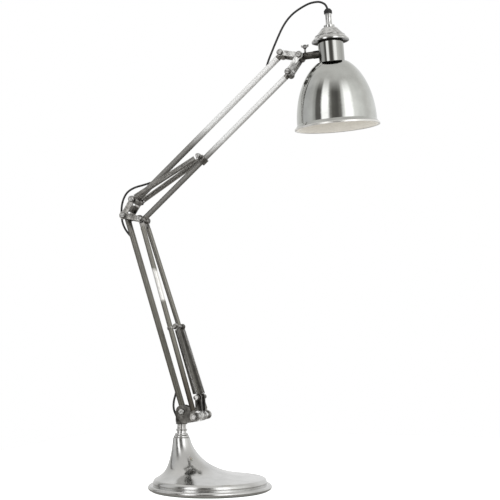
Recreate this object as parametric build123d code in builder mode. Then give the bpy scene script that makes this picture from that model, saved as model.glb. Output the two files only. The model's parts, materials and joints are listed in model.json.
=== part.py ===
"""Spring-balanced desk lamp with two parallel-linkage arms, in millimetres.

The origin is on the swivel axis at table level, +Z is up and the shade hangs towards +X.
Both arms lie in the XZ plane, and every arm pin runs along Y.
"""
import math
import os

from build123d import *

os.makedirs("parts", exist_ok=True)

# Fits and clearances shared by the whole lamp
running_gap = 0.05
seat_gap = 0.05
side_gap = 0.3
open_pivot_gap = 0.15
cut_overrun = 1.0

# Foot and trumpet-shaped base shell
foot_radius = 120.0
foot_shift = 59.5
foot_bead_height = 9.0
foot_bead_bulge = 4.5
foot_groove_setback = 10.0
foot_groove_height = 2.0
foot_step_setback = 13.5
foot_height = 22.0
shell_wall = 2.5
neck_radius = 17.3
neck_height = 97.5
flare_height_shares = (0.0, 0.05, 0.12, 0.24, 0.40, 0.60, 0.80, 1.0)
flare_spread_shares = (1.0, 0.78, 0.56, 0.36, 0.215, 0.105, 0.035, 0.0)
hollow_section_count = 6
felt_thickness = 1.5
felt_setback = 6.0
plate_thickness = 2.5
plate_setback = 9.0
plate_screw_count = 4
plate_screw_radius = 2.0
plate_screw_head_radius = 4.0
plate_screw_setback = 13.0
plate_screw_length = 9.0
weight_gap = 2.5
weight_height = 13.0
weight_step_share = 0.57
weight_step_height = 6.0
outlet_radius = 3.5
outlet_bore_radius = 2.4
outlet_flange_radius = 5.0
outlet_flange_thickness = 1.5
outlet_length = 14.0
outlet_rise = 8.6

# Swivel: collar stack, bush and hollow spindle
collar_height = 13.5
collar_step_heights_shares = (0.34, 0.66)
collar_lower_radius = 15.0
collar_middle_radius = 12.4
collar_upper_radius = 10.0
collar_bead_bulge = 0.8
spindle_radius = 8.5
spindle_bore_radius = 3.5
spindle_shoulder_radius = 10.6
spindle_shoulder_height = 3.0
bush_radius = 11.0
bush_flange_radius = 14.0
bush_flange_thickness = 3.0
nut_radius = 13.0
nut_thickness = 8.0
spindle_tail = 3.0

# Pivots of the lower arm, its parallel link and the elbow
pivot_reach = 4.0
pivot_lift = 25.0
link_reach = 36.0
link_drop = 8.5
lower_arm_length = 411.0
lower_arm_lean = 17.9

# Pivots of the upper arm, its parallel link and the head bracket
elbow_reach = 16.0
elbow_rise = 40.0
upper_arm_length = 416.0
upper_arm_rise = 42.3
head_reach = 38.0
head_drop = 8.0

# Turret yoke
stem_height = 13.0
yoke_boss_radius = 11.0
yoke_boss_height = 14.5
yoke_cap_thickness = 1.0
yoke_gap = 17.0
yoke_cheek = 4.0
yoke_pivot_radius = 12.0
yoke_link_radius = 9.5
yoke_anchor_radius = 6.5
yoke_root_radius = 8.0
yoke_root_lift = 8.0
yoke_rib_radius = 4.0
anchor_reach = 34.0
anchor_lift = 27.7
anchor_pin_radius = 3.0
anchor_pin_half = 24.5
anchor_pin_head_radius = 4.6
anchor_pin_head = 2.0

# Bolts, nuts and the long axle of the parallel link
pin_radius = 3.0
bolt_head_radius = 6.0
bolt_head_height = 4.0
nut_flat_radius = 5.6
nut_height = 4.5
nut_sides = 6
axle_radius = 4.0
axle_sleeve_radius = 6.5
axle_nut_radius = 6.0
axle_nut_height = 3.0

# Tubes and their end fittings
main_tube_radius = 6.0
main_tube_wall = 1.2
upper_link_tube_radius = 5.6
upper_link_tube_wall = 1.1
pair_tube_radius = 5.0
pair_tube_wall = 1.0
barrel_radius = 7.2
small_barrel_radius = 6.6
stem_length = 12.0
plug_length = 24.0
pair_foot_spread = 36.0
pair_head_spread = 13.75
pair_foot_eye_radius = 8.6
pair_foot_eye_width = 8.0
pair_head_eye_radius = 7.2
pair_head_eye_width = 4.4
pair_head_bar_width = 9.0
pair_head_bar_length = 18.0

# Elbow bracket
elbow_gap = 33.0
elbow_cheek = 4.0
elbow_back_radius = 8.2
elbow_end_radius = 7.6
elbow_arm_radius = 5.4
web_length = 15.0
web_thickness = 4.0
elbow_web_lift = 3.4
hook_room = 5.0

# Head bracket, knuckle and thumb screw
head_gap = 23.0
head_cheek = 3.5
head_end_radius = 7.0
head_nose_radius = 7.8
head_arm_radius = 5.0
head_web_length = 18.0
head_tilt = 2.9
head_roll = 6.9
knuckle_barrel_radius = 7.2
knuckle_sleeve_radius = 7.0
knuckle_sleeve_length = 26.0
knuckle_floor = 6.5
knuckle_slit = 1.2
knuckle_slit_length = 11.0
screw_reach = 10.0
screw_radius = 2.0
screw_rise = 19.8
screw_neck_radius = 3.4
screw_neck_height = 5.0
wing_span = 15.0
wing_height = 6.0
wing_thickness = 2.6
wing_notch = 2.4

# Rod that carries the shade
rod_radius = 5.0
rod_collar_radius = 7.7
rod_groove_depth = 0.6
rod_groove_width = 5.0
rod_inner_length = 3.0
neck_reach = 62.0

# Shade: neck, bell, cap, ferrule and gland
shade_neck_radius = 25.1
shade_neck_wall = 1.5
shade_neck_below = 21.6
shade_neck_above = 23.8
shade_top_plate = 2.0
bell_height = 125.4
bell_radius = 78.2
bell_wall = 1.4
bell_curve_extra = 2.1
bell_curve_step_count = 8
bell_rim_height = 9.5
bell_rim_flare = 3.9
bell_lip = 2.6
bell_mouth_radius = 18.3
cap_brim_radius = 36.7
cap_brim_lip = 2.6
cap_height = 24.7
cap_ridge_share = 0.42
cap_ridge_width = 2.2
cap_ridge_bulge = 0.9
cap_shoulder_radius = 17.8
cap_shoulder_drop = 4.3
cap_top_radius = 12.0
cap_wall = 1.4
ferrule_collar_radius = 10.9
ferrule_collar_height = 4.5
ferrule_radius = 6.6
ferrule_height = 23.0
ferrule_waist_depth = 0.6
gland_radius = 8.0
gland_height = 9.6
gland_tip_radius = 5.0
gland_shoulder_share = 0.6

# Lamp holder, shade ring and bulb
holder_radius = 20.0
holder_skirt_radius = 18.0
holder_above = 8.0
holder_skirt_length = 22.0
socket_radius = 13.6
socket_depth = 26.0
nipple_radius = 4.6
nipple_bore_radius = 2.7
ring_radius = 26.0
ring_height = 6.0
bulb_cap_radius = 13.2
bulb_radius = 30.0
bulb_length = 68.0
bulb_shoulder_share = 0.45

# Springs
spring_wire_radius = 0.9
spring_coil_radius = 4.3
spring_turn_count = 16
spring_lead = 9.0
spring_stem = 7.0
lower_spring_spread = 20.0
cross_bar_spread = 15.0
cross_bar_distance = 180.0
cross_bar_offset = 8.8
cross_bar_radius = 3.0
cross_bar_end = 2.0
cross_ring_radius = 6.2
cross_ring_width = 5.0
cross_lug_width = 4.0
cross_disc_radius = 6.0
cross_disc_width = 2.0
cross_disc_spread = 18.5
clamp_distance = 173.0
clamp_radius = 9.2
clamp_width = 13.0
clamp_ear_width = 8.0
clamp_ear_rise = 8.6
clamp_ear_radius = 5.0
clamp_slit = 1.5
clamp_bolt_radius = 2.5
clamp_bolt_half = 16.5
clamp_bolt_head_radius = 4.5
clamp_bolt_head = 2.5
upper_spring_spread = 12.0

# Cord and its three open loops, as shares of each loop's size from the pivot it goes round
cord_radius = 2.1
cord_hole_gap = 0.5
cord_arc_share = 0.48
cord_hole_overrun = 12.0
lower_entry = 48.0
elbow_lower_entry = 50.0
elbow_upper_entry = 58.0
head_entry = 44.0
base_loop_size = 40.0
base_loop_shares = ((-0.42, 0.82), (-0.515, 0.53), (-0.545, 0.22), (-0.48, -0.075))
cord_port_depth = 7.5
elbow_loop_size = 60.0
elbow_lower_shares = ((0.03, -0.57), (-0.122, -0.325), (-0.193, -0.09))
elbow_upper_shares = ((-0.212, 0.30), (-0.155, 0.58), (-0.01, 0.845), (0.28, 0.995), (0.638, 1.062))
head_loop_size = 100.0
head_lower_shares = ((-0.303, -0.15), (-0.238, 0.018), (-0.158, 0.212))
head_middle_shares = ((-0.014, 0.52), (0.106, 0.70), (0.266, 0.846))
head_upper_shares = ((0.53, 0.965), (0.67, 0.982), (0.815, 0.968))
head_upper_depth_shares = (-0.035, -0.06, -0.085)
gland_run = 6.0


def arm_point(x, z):
    """A point of the arm plane."""
    return Vector(x, 0, z)


def side_plane(y):
    """A plane across the arm pins at depth y, with X to the right and Z up."""
    return Plane((0, y, 0), x_dir=(1, 0, 0), z_dir=(0, -1, 0))


def pin_plane(point, y):
    """A plane at depth y that a pin through the point starts from, facing +Y."""
    return Plane((point.X, y, point.Z), x_dir=(1, 0, 0), z_dir=(0, 1, 0))


def keep(piece, name):
    """Labels a finished piece and writes it out."""
    piece.part.label = name
    export_step(piece.part, f"parts/{name}.step")


def cut_cord_hole(part, inner, outside):
    """Drills the slanted hole through which the cord goes into a tube."""
    towards = (outside - inner).normalized()
    with BuildPart() as drilled:
        add(part)
        with BuildSketch(Plane(inner, z_dir=towards)):
            Circle(cord_radius + cord_hole_gap)
        extrude(amount=(outside - inner).length + cord_hole_overrun, mode=Mode.SUBTRACT)
    return drilled.part


def loop_points(pivot, size, shares):
    """Points of a cord loop in the arm plane, placed from a pivot."""
    return [pivot + Vector(reach_share, 0, rise_share) * size for reach_share, rise_share in shares]


# Places of the pivots, worked out from the pose of the arms at rest
lean = math.radians(lower_arm_lean)
rise = math.radians(upper_arm_rise)
lower_along = Vector(-math.sin(lean), 0, math.cos(lean))
upper_along = Vector(math.cos(rise), 0, math.sin(rise))
upper_across = Vector(-math.sin(rise), 0, math.cos(rise))
lower_ahead = Vector(math.cos(lean), 0, math.sin(lean))
collar_top = neck_height + collar_height
yoke_boss_bottom = collar_top + stem_height
yoke_boss_top = yoke_boss_bottom + yoke_boss_height
yoke_root_rise = yoke_boss_bottom + yoke_root_lift
yoke_pivot = arm_point(pivot_reach, yoke_boss_bottom + pivot_lift)
link_pivot = yoke_pivot + Vector(link_reach, 0, -link_drop)
elbow_pivot = yoke_pivot + lower_along * lower_arm_length
shared_pivot = elbow_pivot + Vector(link_reach, 0, -link_drop)
upper_pivot = shared_pivot + Vector(-elbow_reach, 0, elbow_rise)
head_upper_pivot = upper_pivot + upper_along * upper_arm_length
head_lower_pivot = head_upper_pivot + Vector(elbow_reach, 0, -elbow_rise)
tilt_pivot = head_upper_pivot + Vector(head_reach, 0, -head_drop)
spring_anchor = yoke_pivot + Vector(anchor_reach, 0, anchor_lift)
yoke_half = yoke_gap / 2
elbow_half = elbow_gap / 2
head_half = head_gap / 2


# Slanted port through which the cord goes down into the hollow spindle
cord_port = arm_point(-yoke_boss_radius, yoke_boss_top - yoke_boss_radius / 2)
cord_port_end = cord_port + Vector(1, 0, -1) * cord_port_depth
base_loop = loop_points(yoke_pivot, base_loop_size, base_loop_shares)


# Base shell: an off-centre trumpet on a moulded round foot, cast hollow
shell_bottom = felt_thickness
foot_groove_radius = foot_radius - foot_groove_setback
foot_step_radius = foot_radius - foot_step_setback
plate_radius = foot_radius - plate_setback
plate_screw_circle = foot_radius - plate_screw_setback
flare_height = neck_height - foot_height
flare_spread = foot_step_radius - neck_radius
cavity_radius = foot_step_radius - shell_wall
with BuildPart() as base_shell:
    for height_share, spread_share in zip(flare_height_shares, flare_spread_shares):
        level = foot_height + flare_height * height_share
        with BuildSketch(Plane((foot_shift * spread_share, 0, level))):
            Circle(neck_radius + flare_spread * spread_share)
    loft()
    bead_top = shell_bottom + foot_bead_height
    step_bottom = bead_top + foot_groove_height
    with BuildSketch(side_plane(0)):
        with BuildLine(Plane((foot_shift, 0))):
            Line((0, shell_bottom), (foot_radius - foot_bead_bulge, shell_bottom))
            ThreePointArc(
                (foot_radius - foot_bead_bulge, shell_bottom),
                (foot_radius, (shell_bottom + bead_top) / 2),
                (foot_radius - foot_bead_bulge, bead_top),
            )
            Line((foot_radius - foot_bead_bulge, bead_top), (foot_groove_radius, bead_top))
            Line((foot_groove_radius, bead_top), (foot_groove_radius, step_bottom))
            ThreePointArc(
                (foot_groove_radius, step_bottom),
                (foot_groove_radius, (step_bottom + foot_height) / 2),
                (foot_step_radius, foot_height),
            )
            Line((foot_step_radius, foot_height), (0, foot_height))
            Line((0, foot_height), (0, shell_bottom))
        make_face()
    revolve(axis=Axis((foot_shift, 0, 0), (0, 0, 1)))
    hollow_shares = list(zip(flare_height_shares, flare_spread_shares))[:hollow_section_count]
    for height_share, spread_share in hollow_shares:
        level = foot_height + flare_height * height_share - shell_wall
        with BuildSketch(Plane((foot_shift * spread_share, 0, level))):
            Circle(neck_radius + flare_spread * spread_share - shell_wall)
    loft(mode=Mode.SUBTRACT)
    with BuildSketch(Plane((foot_shift, 0, 0))):
        Circle(cavity_radius)
    extrude(amount=foot_height - shell_wall, mode=Mode.SUBTRACT)
    with BuildSketch(Plane((foot_shift, 0, 0))):
        Circle(plate_radius + side_gap)
    extrude(amount=shell_bottom + plate_thickness, mode=Mode.SUBTRACT)
    with BuildSketch(Plane((0, 0, foot_height))):
        Circle(bush_radius + seat_gap)
    extrude(amount=flare_height + cut_overrun, mode=Mode.SUBTRACT)
    with BuildSketch(Plane((foot_shift, 0, shell_bottom + plate_thickness))):
        with PolarLocations(plate_screw_circle, plate_screw_count, start_angle=45):
            Circle(plate_screw_radius + seat_gap)
    extrude(amount=plate_screw_length, mode=Mode.SUBTRACT)
    with BuildSketch(Plane((foot_shift, 0, outlet_rise), x_dir=(1, 0, 0), z_dir=(0, 1, 0))):
        Circle(outlet_radius + seat_gap)
    extrude(amount=foot_radius + cut_overrun, mode=Mode.SUBTRACT)
keep(base_shell, "base_shell")
hollow_top = foot_height + flare_height * flare_height_shares[hollow_section_count - 1] - shell_wall

# Iron weight that keeps the lamp standing, with a step up into the trumpet
plate_top = shell_bottom + plate_thickness
weight_radius = cavity_radius - weight_gap
with BuildPart() as base_weight:
    with BuildSketch(Plane((foot_shift, 0, plate_top))):
        Circle(weight_radius)
    extrude(amount=weight_height)
    chamfer(base_weight.faces().sort_by(Axis.Z)[-1].edges(), weight_height / 8)
    with BuildSketch(Plane((foot_shift, 0, plate_top + weight_height))):
        Circle(weight_radius * weight_step_share)
    extrude(amount=weight_step_height)
keep(base_weight, "base_weight")

# Steel bottom plate, its countersunk screws and the felt under it
with BuildPart() as base_plate:
    with BuildSketch(Plane((foot_shift, 0, shell_bottom))):
        Circle(plate_radius)
        with PolarLocations(plate_screw_circle, plate_screw_count, start_angle=45):
            Circle(plate_screw_radius + seat_gap, mode=Mode.SUBTRACT)
    extrude(amount=plate_thickness)
    screw_sink = plate_screw_head_radius - plate_screw_radius
    for spot in PolarLocations(plate_screw_circle, plate_screw_count, start_angle=45).local_locations:
        with Locations(Plane((foot_shift, 0, shell_bottom)).location * spot):
            Cone(
                plate_screw_head_radius + seat_gap,
                plate_screw_radius + seat_gap,
                screw_sink,
                align=(Align.CENTER, Align.CENTER, Align.MIN),
                mode=Mode.SUBTRACT,
            )
keep(base_plate, "base_plate")

with BuildPart() as plate_screws:
    for spot in PolarLocations(plate_screw_circle, plate_screw_count, start_angle=45).local_locations:
        with Locations(Plane((foot_shift, 0, shell_bottom)).location * spot):
            Cone(
                plate_screw_head_radius,
                plate_screw_radius,
                screw_sink,
                align=(Align.CENTER, Align.CENTER, Align.MIN),
            )
            Cylinder(
                plate_screw_radius,
                plate_screw_length,
                align=(Align.CENTER, Align.CENTER, Align.MIN),
            )
keep(plate_screws, "plate_screws")

with BuildPart() as base_felt:
    with BuildSketch(Plane((foot_shift, 0, 0))):
        Circle(foot_radius - felt_setback)
    extrude(amount=felt_thickness)
keep(base_felt, "base_felt")

# Rubber bush in the back of the foot, where a mains lead would leave
outlet_face = foot_radius - foot_bead_bulge / 2
with BuildPart() as cord_outlet_bush:
    with BuildSketch(pin_plane(arm_point(foot_shift, outlet_rise), outlet_face - outlet_length)):
        Circle(outlet_radius)
        Circle(outlet_bore_radius, mode=Mode.SUBTRACT)
    extrude(amount=foot_radius + seat_gap - outlet_face + outlet_length)
    with BuildSketch(pin_plane(arm_point(foot_shift, outlet_rise), foot_radius + seat_gap)):
        Circle(outlet_flange_radius)
        Circle(outlet_bore_radius, mode=Mode.SUBTRACT)
    extrude(amount=outlet_flange_thickness)
keep(cord_outlet_bush, "cord_outlet_bush")

# Turned collar stack on top of the trumpet
collar_levels = [neck_height + collar_height * share for share in collar_step_heights_shares]
collar_bore = spindle_radius + running_gap
with BuildPart() as neck_collar:
    with BuildSketch(side_plane(0)):
        with BuildLine():
            Line((collar_bore, neck_height), (collar_lower_radius, neck_height))
            ThreePointArc(
                (collar_lower_radius, neck_height),
                (collar_lower_radius + collar_bead_bulge, (neck_height + collar_levels[0]) / 2),
                (collar_lower_radius, collar_levels[0]),
            )
            Line((collar_lower_radius, collar_levels[0]), (collar_middle_radius, collar_levels[0]))
            ThreePointArc(
                (collar_middle_radius, collar_levels[0]),
                (collar_middle_radius + collar_bead_bulge, (collar_levels[0] + collar_levels[1]) / 2),
                (collar_middle_radius, collar_levels[1]),
            )
            Line((collar_middle_radius, collar_levels[1]), (collar_upper_radius, collar_levels[1]))
            Line((collar_upper_radius, collar_levels[1]), (collar_upper_radius, collar_top))
            Line((collar_upper_radius, collar_top), (collar_bore, collar_top))
            Line((collar_bore, collar_top), (collar_bore, neck_height))
        make_face()
    revolve(axis=Axis.Z)
keep(neck_collar, "neck_collar")

# Flanged bush in the neck
with BuildPart() as swivel_bush:
    with BuildSketch(Plane((0, 0, hollow_top))):
        Circle(bush_radius)
    extrude(amount=neck_height - hollow_top)
    with BuildSketch(Plane((0, 0, hollow_top - bush_flange_thickness))):
        Circle(bush_flange_radius)
    extrude(amount=bush_flange_thickness)
    with BuildSketch(Plane((0, 0, hollow_top - bush_flange_thickness))):
        Circle(spindle_radius + running_gap)
    extrude(amount=neck_height, mode=Mode.SUBTRACT)
keep(swivel_bush, "swivel_bush")

# Hollow spindle with the shoulder that rides on the collar, and its nut
nut_top = hollow_top - bush_flange_thickness - side_gap
spindle_bottom = nut_top - nut_thickness - spindle_tail
spindle_top = yoke_boss_top - yoke_cap_thickness
with BuildPart() as turret_spindle:
    with BuildSketch(Plane((0, 0, spindle_bottom))):
        Circle(spindle_radius)
    extrude(amount=spindle_top - spindle_bottom)
    with BuildSketch(Plane((0, 0, collar_top + side_gap))):
        Circle(spindle_shoulder_radius)
    extrude(amount=spindle_shoulder_height)
    chamfer(
        turret_spindle.edges().filter_by(GeomType.CIRCLE).sort_by(SortBy.RADIUS)[-2:],
        spindle_shoulder_height / 6,
    )
    with BuildSketch(Plane((0, 0, spindle_bottom))):
        Circle(spindle_bore_radius)
    extrude(amount=spindle_top, mode=Mode.SUBTRACT)
turret_spindle.part = cut_cord_hole(turret_spindle.part, cord_port_end, base_loop[-1])
keep(turret_spindle, "turret_spindle")

with BuildPart() as spindle_nut:
    with BuildSketch(Plane((0, 0, nut_top - nut_thickness))):
        RegularPolygon(nut_radius, nut_sides)
        Circle(spindle_radius + seat_gap, mode=Mode.SUBTRACT)
    extrude(amount=nut_thickness)
keep(spindle_nut, "spindle_nut")

# Cast yoke: a boss on the spindle and two cheeks that carry the arm pins and the spring anchor
with BuildPart() as turret_yoke:
    with BuildSketch(Plane((0, 0, yoke_boss_bottom))):
        Circle(yoke_boss_radius)
    extrude(amount=yoke_boss_top - yoke_boss_bottom)
    with BuildSketch(side_plane(-yoke_half)) as cheek:
        with Locations((yoke_pivot.X, yoke_pivot.Z)):
            Circle(yoke_pivot_radius)
        with Locations((link_pivot.X, link_pivot.Z)):
            Circle(yoke_link_radius)
        with Locations((0, yoke_root_rise)):
            Circle(yoke_root_radius)
        make_hull(cheek.edges())
    extrude(amount=yoke_cheek)
    with BuildSketch(side_plane(-yoke_half)) as ear:
        with Locations((link_pivot.X, link_pivot.Z), (spring_anchor.X, spring_anchor.Z)):
            Circle(yoke_anchor_radius)
        make_hull(ear.edges())
    extrude(amount=yoke_cheek)
    mirror(about=Plane.XZ)
    with BuildSketch(side_plane(0)):
        with Locations((link_pivot.X / 2, yoke_root_rise + yoke_rib_radius)):
            Circle(yoke_rib_radius)
    extrude(amount=yoke_half, both=True)
    with BuildSketch(Plane((0, 0, yoke_boss_bottom))):
        Circle(spindle_radius + seat_gap)
    extrude(amount=spindle_top - yoke_boss_bottom, mode=Mode.SUBTRACT)
    with BuildSketch(Plane((0, 0, yoke_boss_bottom))):
        Circle(spindle_bore_radius)
    extrude(amount=yoke_boss_top, mode=Mode.SUBTRACT)
    for centre, radius in (
        (yoke_pivot, pin_radius),
        (link_pivot, axle_radius),
        (spring_anchor, anchor_pin_radius),
    ):
        with BuildSketch(side_plane(0)):
            with Locations((centre.X, centre.Z)):
                Circle(radius + seat_gap)
        extrude(amount=yoke_gap, both=True, mode=Mode.SUBTRACT)
turret_yoke.part = cut_cord_hole(turret_yoke.part, cord_port_end, base_loop[-1])
keep(turret_yoke, "turret_yoke")


def bolt(point, near_face, far_face):
    """A round-headed pivot bolt along Y, its head on the near face and its thread through the far one."""
    tail = far_face + nut_height + cut_overrun
    with BuildPart() as shank:
        with BuildSketch(pin_plane(point, near_face)):
            Circle(pin_radius)
        extrude(amount=tail - near_face)
        with BuildSketch(pin_plane(point, near_face - bolt_head_height)):
            Circle(bolt_head_radius)
        extrude(amount=bolt_head_height)
        chamfer(shank.faces().sort_by(Axis.Y)[0].edges(), bolt_head_height / 3)
    return shank.part


def nut(point, face, flat_radius, bore_radius, height):
    """A hexagon nut along Y that sits on a face and grows away from the arm plane."""
    away = math.copysign(1, face)
    start = min(face, face + away * height)
    with BuildPart() as hexagon:
        with BuildSketch(pin_plane(point, start)):
            RegularPolygon(flat_radius, nut_sides)
            Circle(bore_radius + seat_gap, mode=Mode.SUBTRACT)
        extrude(amount=height)
    return hexagon.part


def group(name, solids):
    """Writes several like pieces as one node."""
    with BuildPart() as together:
        for solid in solids:
            add(solid)
    keep(together, name)


yoke_face = yoke_half + yoke_cheek
pair_foot_half = pair_foot_eye_width / 2
axle_face = pair_foot_spread + pair_foot_half + side_gap
group("yoke_bolt", [bolt(yoke_pivot, -yoke_face, yoke_face)])
group(
    "yoke_nuts",
    [
        nut(yoke_pivot, yoke_face, nut_flat_radius, pin_radius, nut_height),
        nut(link_pivot, axle_face, axle_nut_radius, axle_radius, axle_nut_height),
        nut(link_pivot, -axle_face, axle_nut_radius, axle_radius, axle_nut_height),
    ],
)

# Long axle of the parallel link, with the sleeves that hold its two legs apart
axle_half = axle_face + axle_nut_height + cut_overrun
with BuildPart() as link_axle:
    with BuildSketch(pin_plane(link_pivot, -axle_half)):
        Circle(axle_radius)
    extrude(amount=2 * axle_half)
    chamfer(link_axle.edges().filter_by(GeomType.CIRCLE), axle_radius / 6)
keep(link_axle, "link_axle")

sleeve_length = pair_foot_spread - pair_foot_half - 2 * side_gap - yoke_face
with BuildPart() as axle_sleeves:
    with BuildSketch(pin_plane(link_pivot, yoke_face)):
        Circle(axle_sleeve_radius)
        Circle(axle_radius + seat_gap, mode=Mode.SUBTRACT)
    extrude(amount=sleeve_length)
    mirror(about=Plane.XZ)
keep(axle_sleeves, "axle_sleeves")

# Headed pin above the link axle, where the lower springs hook on
with BuildPart() as spring_anchor_pin:
    with BuildSketch(pin_plane(spring_anchor, -anchor_pin_half)):
        Circle(anchor_pin_radius)
    extrude(amount=2 * anchor_pin_half)
    with BuildSketch(pin_plane(spring_anchor, anchor_pin_half)):
        Circle(anchor_pin_head_radius)
    extrude(amount=anchor_pin_head)
    with BuildSketch(pin_plane(spring_anchor, -anchor_pin_half - anchor_pin_head)):
        Circle(anchor_pin_head_radius)
    extrude(amount=anchor_pin_head)
keep(spring_anchor_pin, "spring_anchor_pin")


def end_fitting(name, pivot, along, half_width, eye_radius, tube_radius, tube_wall):
    """A cast end piece: a barrel on the pivot pin, a round stem and a plug inside the tube."""
    with BuildPart() as fitting:
        with BuildSketch(pin_plane(pivot, -half_width)):
            Circle(eye_radius)
        extrude(amount=2 * half_width)
        with BuildSketch(Plane(pivot, z_dir=along)):
            Circle(tube_radius)
        extrude(amount=stem_length)
        with BuildSketch(Plane(pivot, z_dir=along)):
            Circle(tube_radius - tube_wall - seat_gap)
        extrude(amount=plug_length)
        with BuildSketch(pin_plane(pivot, -half_width - cut_overrun)):
            Circle(pin_radius + running_gap)
        extrude(amount=2 * (half_width + cut_overrun), mode=Mode.SUBTRACT)
    keep(fitting, name)


def tube(start, end, outer_radius, wall):
    """A drawn tube between two points."""
    with BuildPart() as drawn:
        with BuildSketch(Plane(start, z_dir=end - start)):
            Circle(outer_radius)
            Circle(outer_radius - wall, mode=Mode.SUBTRACT)
        extrude(amount=(end - start).length)
    return drawn.part


# Routes of the cord's open loops; each inner end lies on the axis of the tube it enters
lower_tube_entry = yoke_pivot + lower_along * lower_entry
elbow_tube_entry = elbow_pivot - lower_along * elbow_lower_entry
upper_tube_entry = upper_pivot + upper_along * elbow_upper_entry
head_tube_entry = head_upper_pivot - upper_along * head_entry
elbow_lower_loop = loop_points(elbow_pivot, elbow_loop_size, elbow_lower_shares)
elbow_upper_loop = loop_points(elbow_pivot, elbow_loop_size, elbow_upper_shares)
elbow_split = (elbow_lower_loop[-1] + elbow_upper_loop[0]) * 0.5
head_lower_loop = loop_points(head_upper_pivot, head_loop_size, head_lower_shares)
head_middle_loop = loop_points(head_upper_pivot, head_loop_size, head_middle_shares)
head_lower_split = (head_lower_loop[-1] + head_middle_loop[0]) * 0.5

# Lower main tube with its two end fittings
lower_tube = tube(
    yoke_pivot + lower_along * stem_length,
    elbow_pivot - lower_along * stem_length,
    main_tube_radius,
    main_tube_wall,
)
lower_tube = cut_cord_hole(lower_tube, lower_tube_entry, base_loop[0])
lower_tube = cut_cord_hole(lower_tube, elbow_tube_entry, elbow_lower_loop[0])
group("lower_tube", [lower_tube])
end_fitting(
    "lower_tube_foot", yoke_pivot, lower_along, yoke_half - side_gap,
    barrel_radius, main_tube_radius, main_tube_wall,
)
end_fitting(
    "lower_tube_head", elbow_pivot, -lower_along, elbow_half - side_gap,
    barrel_radius, main_tube_radius, main_tube_wall,
)


# Parallel link: two splayed legs, wide at the yoke and close together at the elbow
def leg_ends(side):
    """Middle of a leg's foot eye and head eye on one side of the arm plane."""
    foot = link_pivot + Vector(0, side * pair_foot_spread, 0)
    head = shared_pivot + Vector(0, side * pair_head_spread, 0)
    return foot, head


def leg_tube(side):
    foot, head = leg_ends(side)
    along = (head - foot).normalized()
    return tube(
        foot + along * stem_length,
        head - along * pair_head_bar_length,
        pair_tube_radius,
        pair_tube_wall,
    )


def leg_foot_eye(side):
    foot, head = leg_ends(side)
    along = (head - foot).normalized()
    with BuildPart() as eye:
        with BuildSketch(pin_plane(foot, foot.Y - pair_foot_half)):
            Circle(pair_foot_eye_radius)
        extrude(amount=pair_foot_eye_width)
        with BuildSketch(Plane(foot, z_dir=along)):
            Circle(pair_foot_half)
        extrude(amount=stem_length)
        with BuildSketch(Plane(foot, z_dir=along)):
            Circle(pair_tube_radius - pair_tube_wall - seat_gap)
        extrude(amount=plug_length)
        with BuildSketch(pin_plane(foot, foot.Y - pair_foot_eye_width)):
            Circle(axle_radius + running_gap)
        extrude(amount=2 * pair_foot_eye_width, mode=Mode.SUBTRACT)
    return eye.part


def leg_head_eye(side):
    foot, head = leg_ends(side)
    along = (foot - head).normalized()
    eye_half = pair_head_eye_width / 2
    flat_along = Vector(along.X, 0, along.Z).normalized()
    with BuildPart() as eye:
        with BuildSketch(pin_plane(head, head.Y - eye_half)):
            Circle(pair_head_eye_radius)
        extrude(amount=pair_head_eye_width)
        with BuildSketch(Plane(head, x_dir=(0, 1, 0), z_dir=flat_along)):
            Rectangle(pair_head_eye_width, pair_head_bar_width)
        extrude(amount=pair_head_bar_length - side_gap)
        with BuildSketch(Plane(head + along * (pair_head_bar_length - pair_tube_radius), z_dir=along)):
            Circle(pair_tube_radius - pair_tube_wall - seat_gap)
        extrude(amount=plug_length)
        with BuildSketch(pin_plane(head, head.Y - pair_head_eye_width)):
            Circle(pin_radius + running_gap + open_pivot_gap)
        extrude(amount=2 * pair_head_eye_width, mode=Mode.SUBTRACT)
    return eye.part


group("link_front_tube", [leg_tube(-1)])
group("link_rear_tube", [leg_tube(1)])
group("link_foot_eyes", [leg_foot_eye(side) for side in (-1, 1)])
group("link_head_eyes", [leg_head_eye(side) for side in (-1, 1)])

# Cross bar ahead of the two legs, on thin rings round the tubes, with a disc beside each spring hook
bar_point = link_pivot + lower_along * cross_bar_distance
bar_axis_point = bar_point + lower_ahead * cross_bar_offset
bar_share = cross_bar_distance / lower_arm_length
bar_leg_spread = pair_foot_spread + (pair_head_spread - pair_foot_spread) * bar_share
bar_half = bar_leg_spread + cross_bar_end
with BuildPart() as spring_cross_bar:
    with BuildSketch(pin_plane(bar_axis_point, -bar_half)):
        Circle(cross_bar_radius)
    extrude(amount=2 * bar_half)
    with BuildSketch(pin_plane(bar_axis_point, cross_disc_spread)):
        Circle(cross_disc_radius)
    extrude(amount=cross_disc_width)
    with BuildSketch(pin_plane(bar_axis_point, -cross_disc_spread - cross_disc_width)):
        Circle(cross_disc_radius)
    extrude(amount=cross_disc_width)
    for side in (-1, 1):
        foot, head = leg_ends(side)
        along = (head - foot).normalized()
        ring_centre = foot + along * cross_bar_distance
        with BuildSketch(Plane(ring_centre, x_dir=lower_ahead, z_dir=along)):
            Circle(cross_ring_radius)
            with Locations((cross_bar_offset / 2, 0)):
                Rectangle(cross_bar_offset, cross_lug_width)
        extrude(amount=cross_ring_width / 2, both=True)
    for side in (-1, 1):
        foot, head = leg_ends(side)
        along = (head - foot).normalized()
        ring_centre = foot + along * cross_bar_distance
        with BuildSketch(Plane(ring_centre, z_dir=along)):
            Circle(pair_tube_radius + seat_gap)
        extrude(amount=cross_ring_width, both=True, mode=Mode.SUBTRACT)
keep(spring_cross_bar, "spring_cross_bar")


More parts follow.
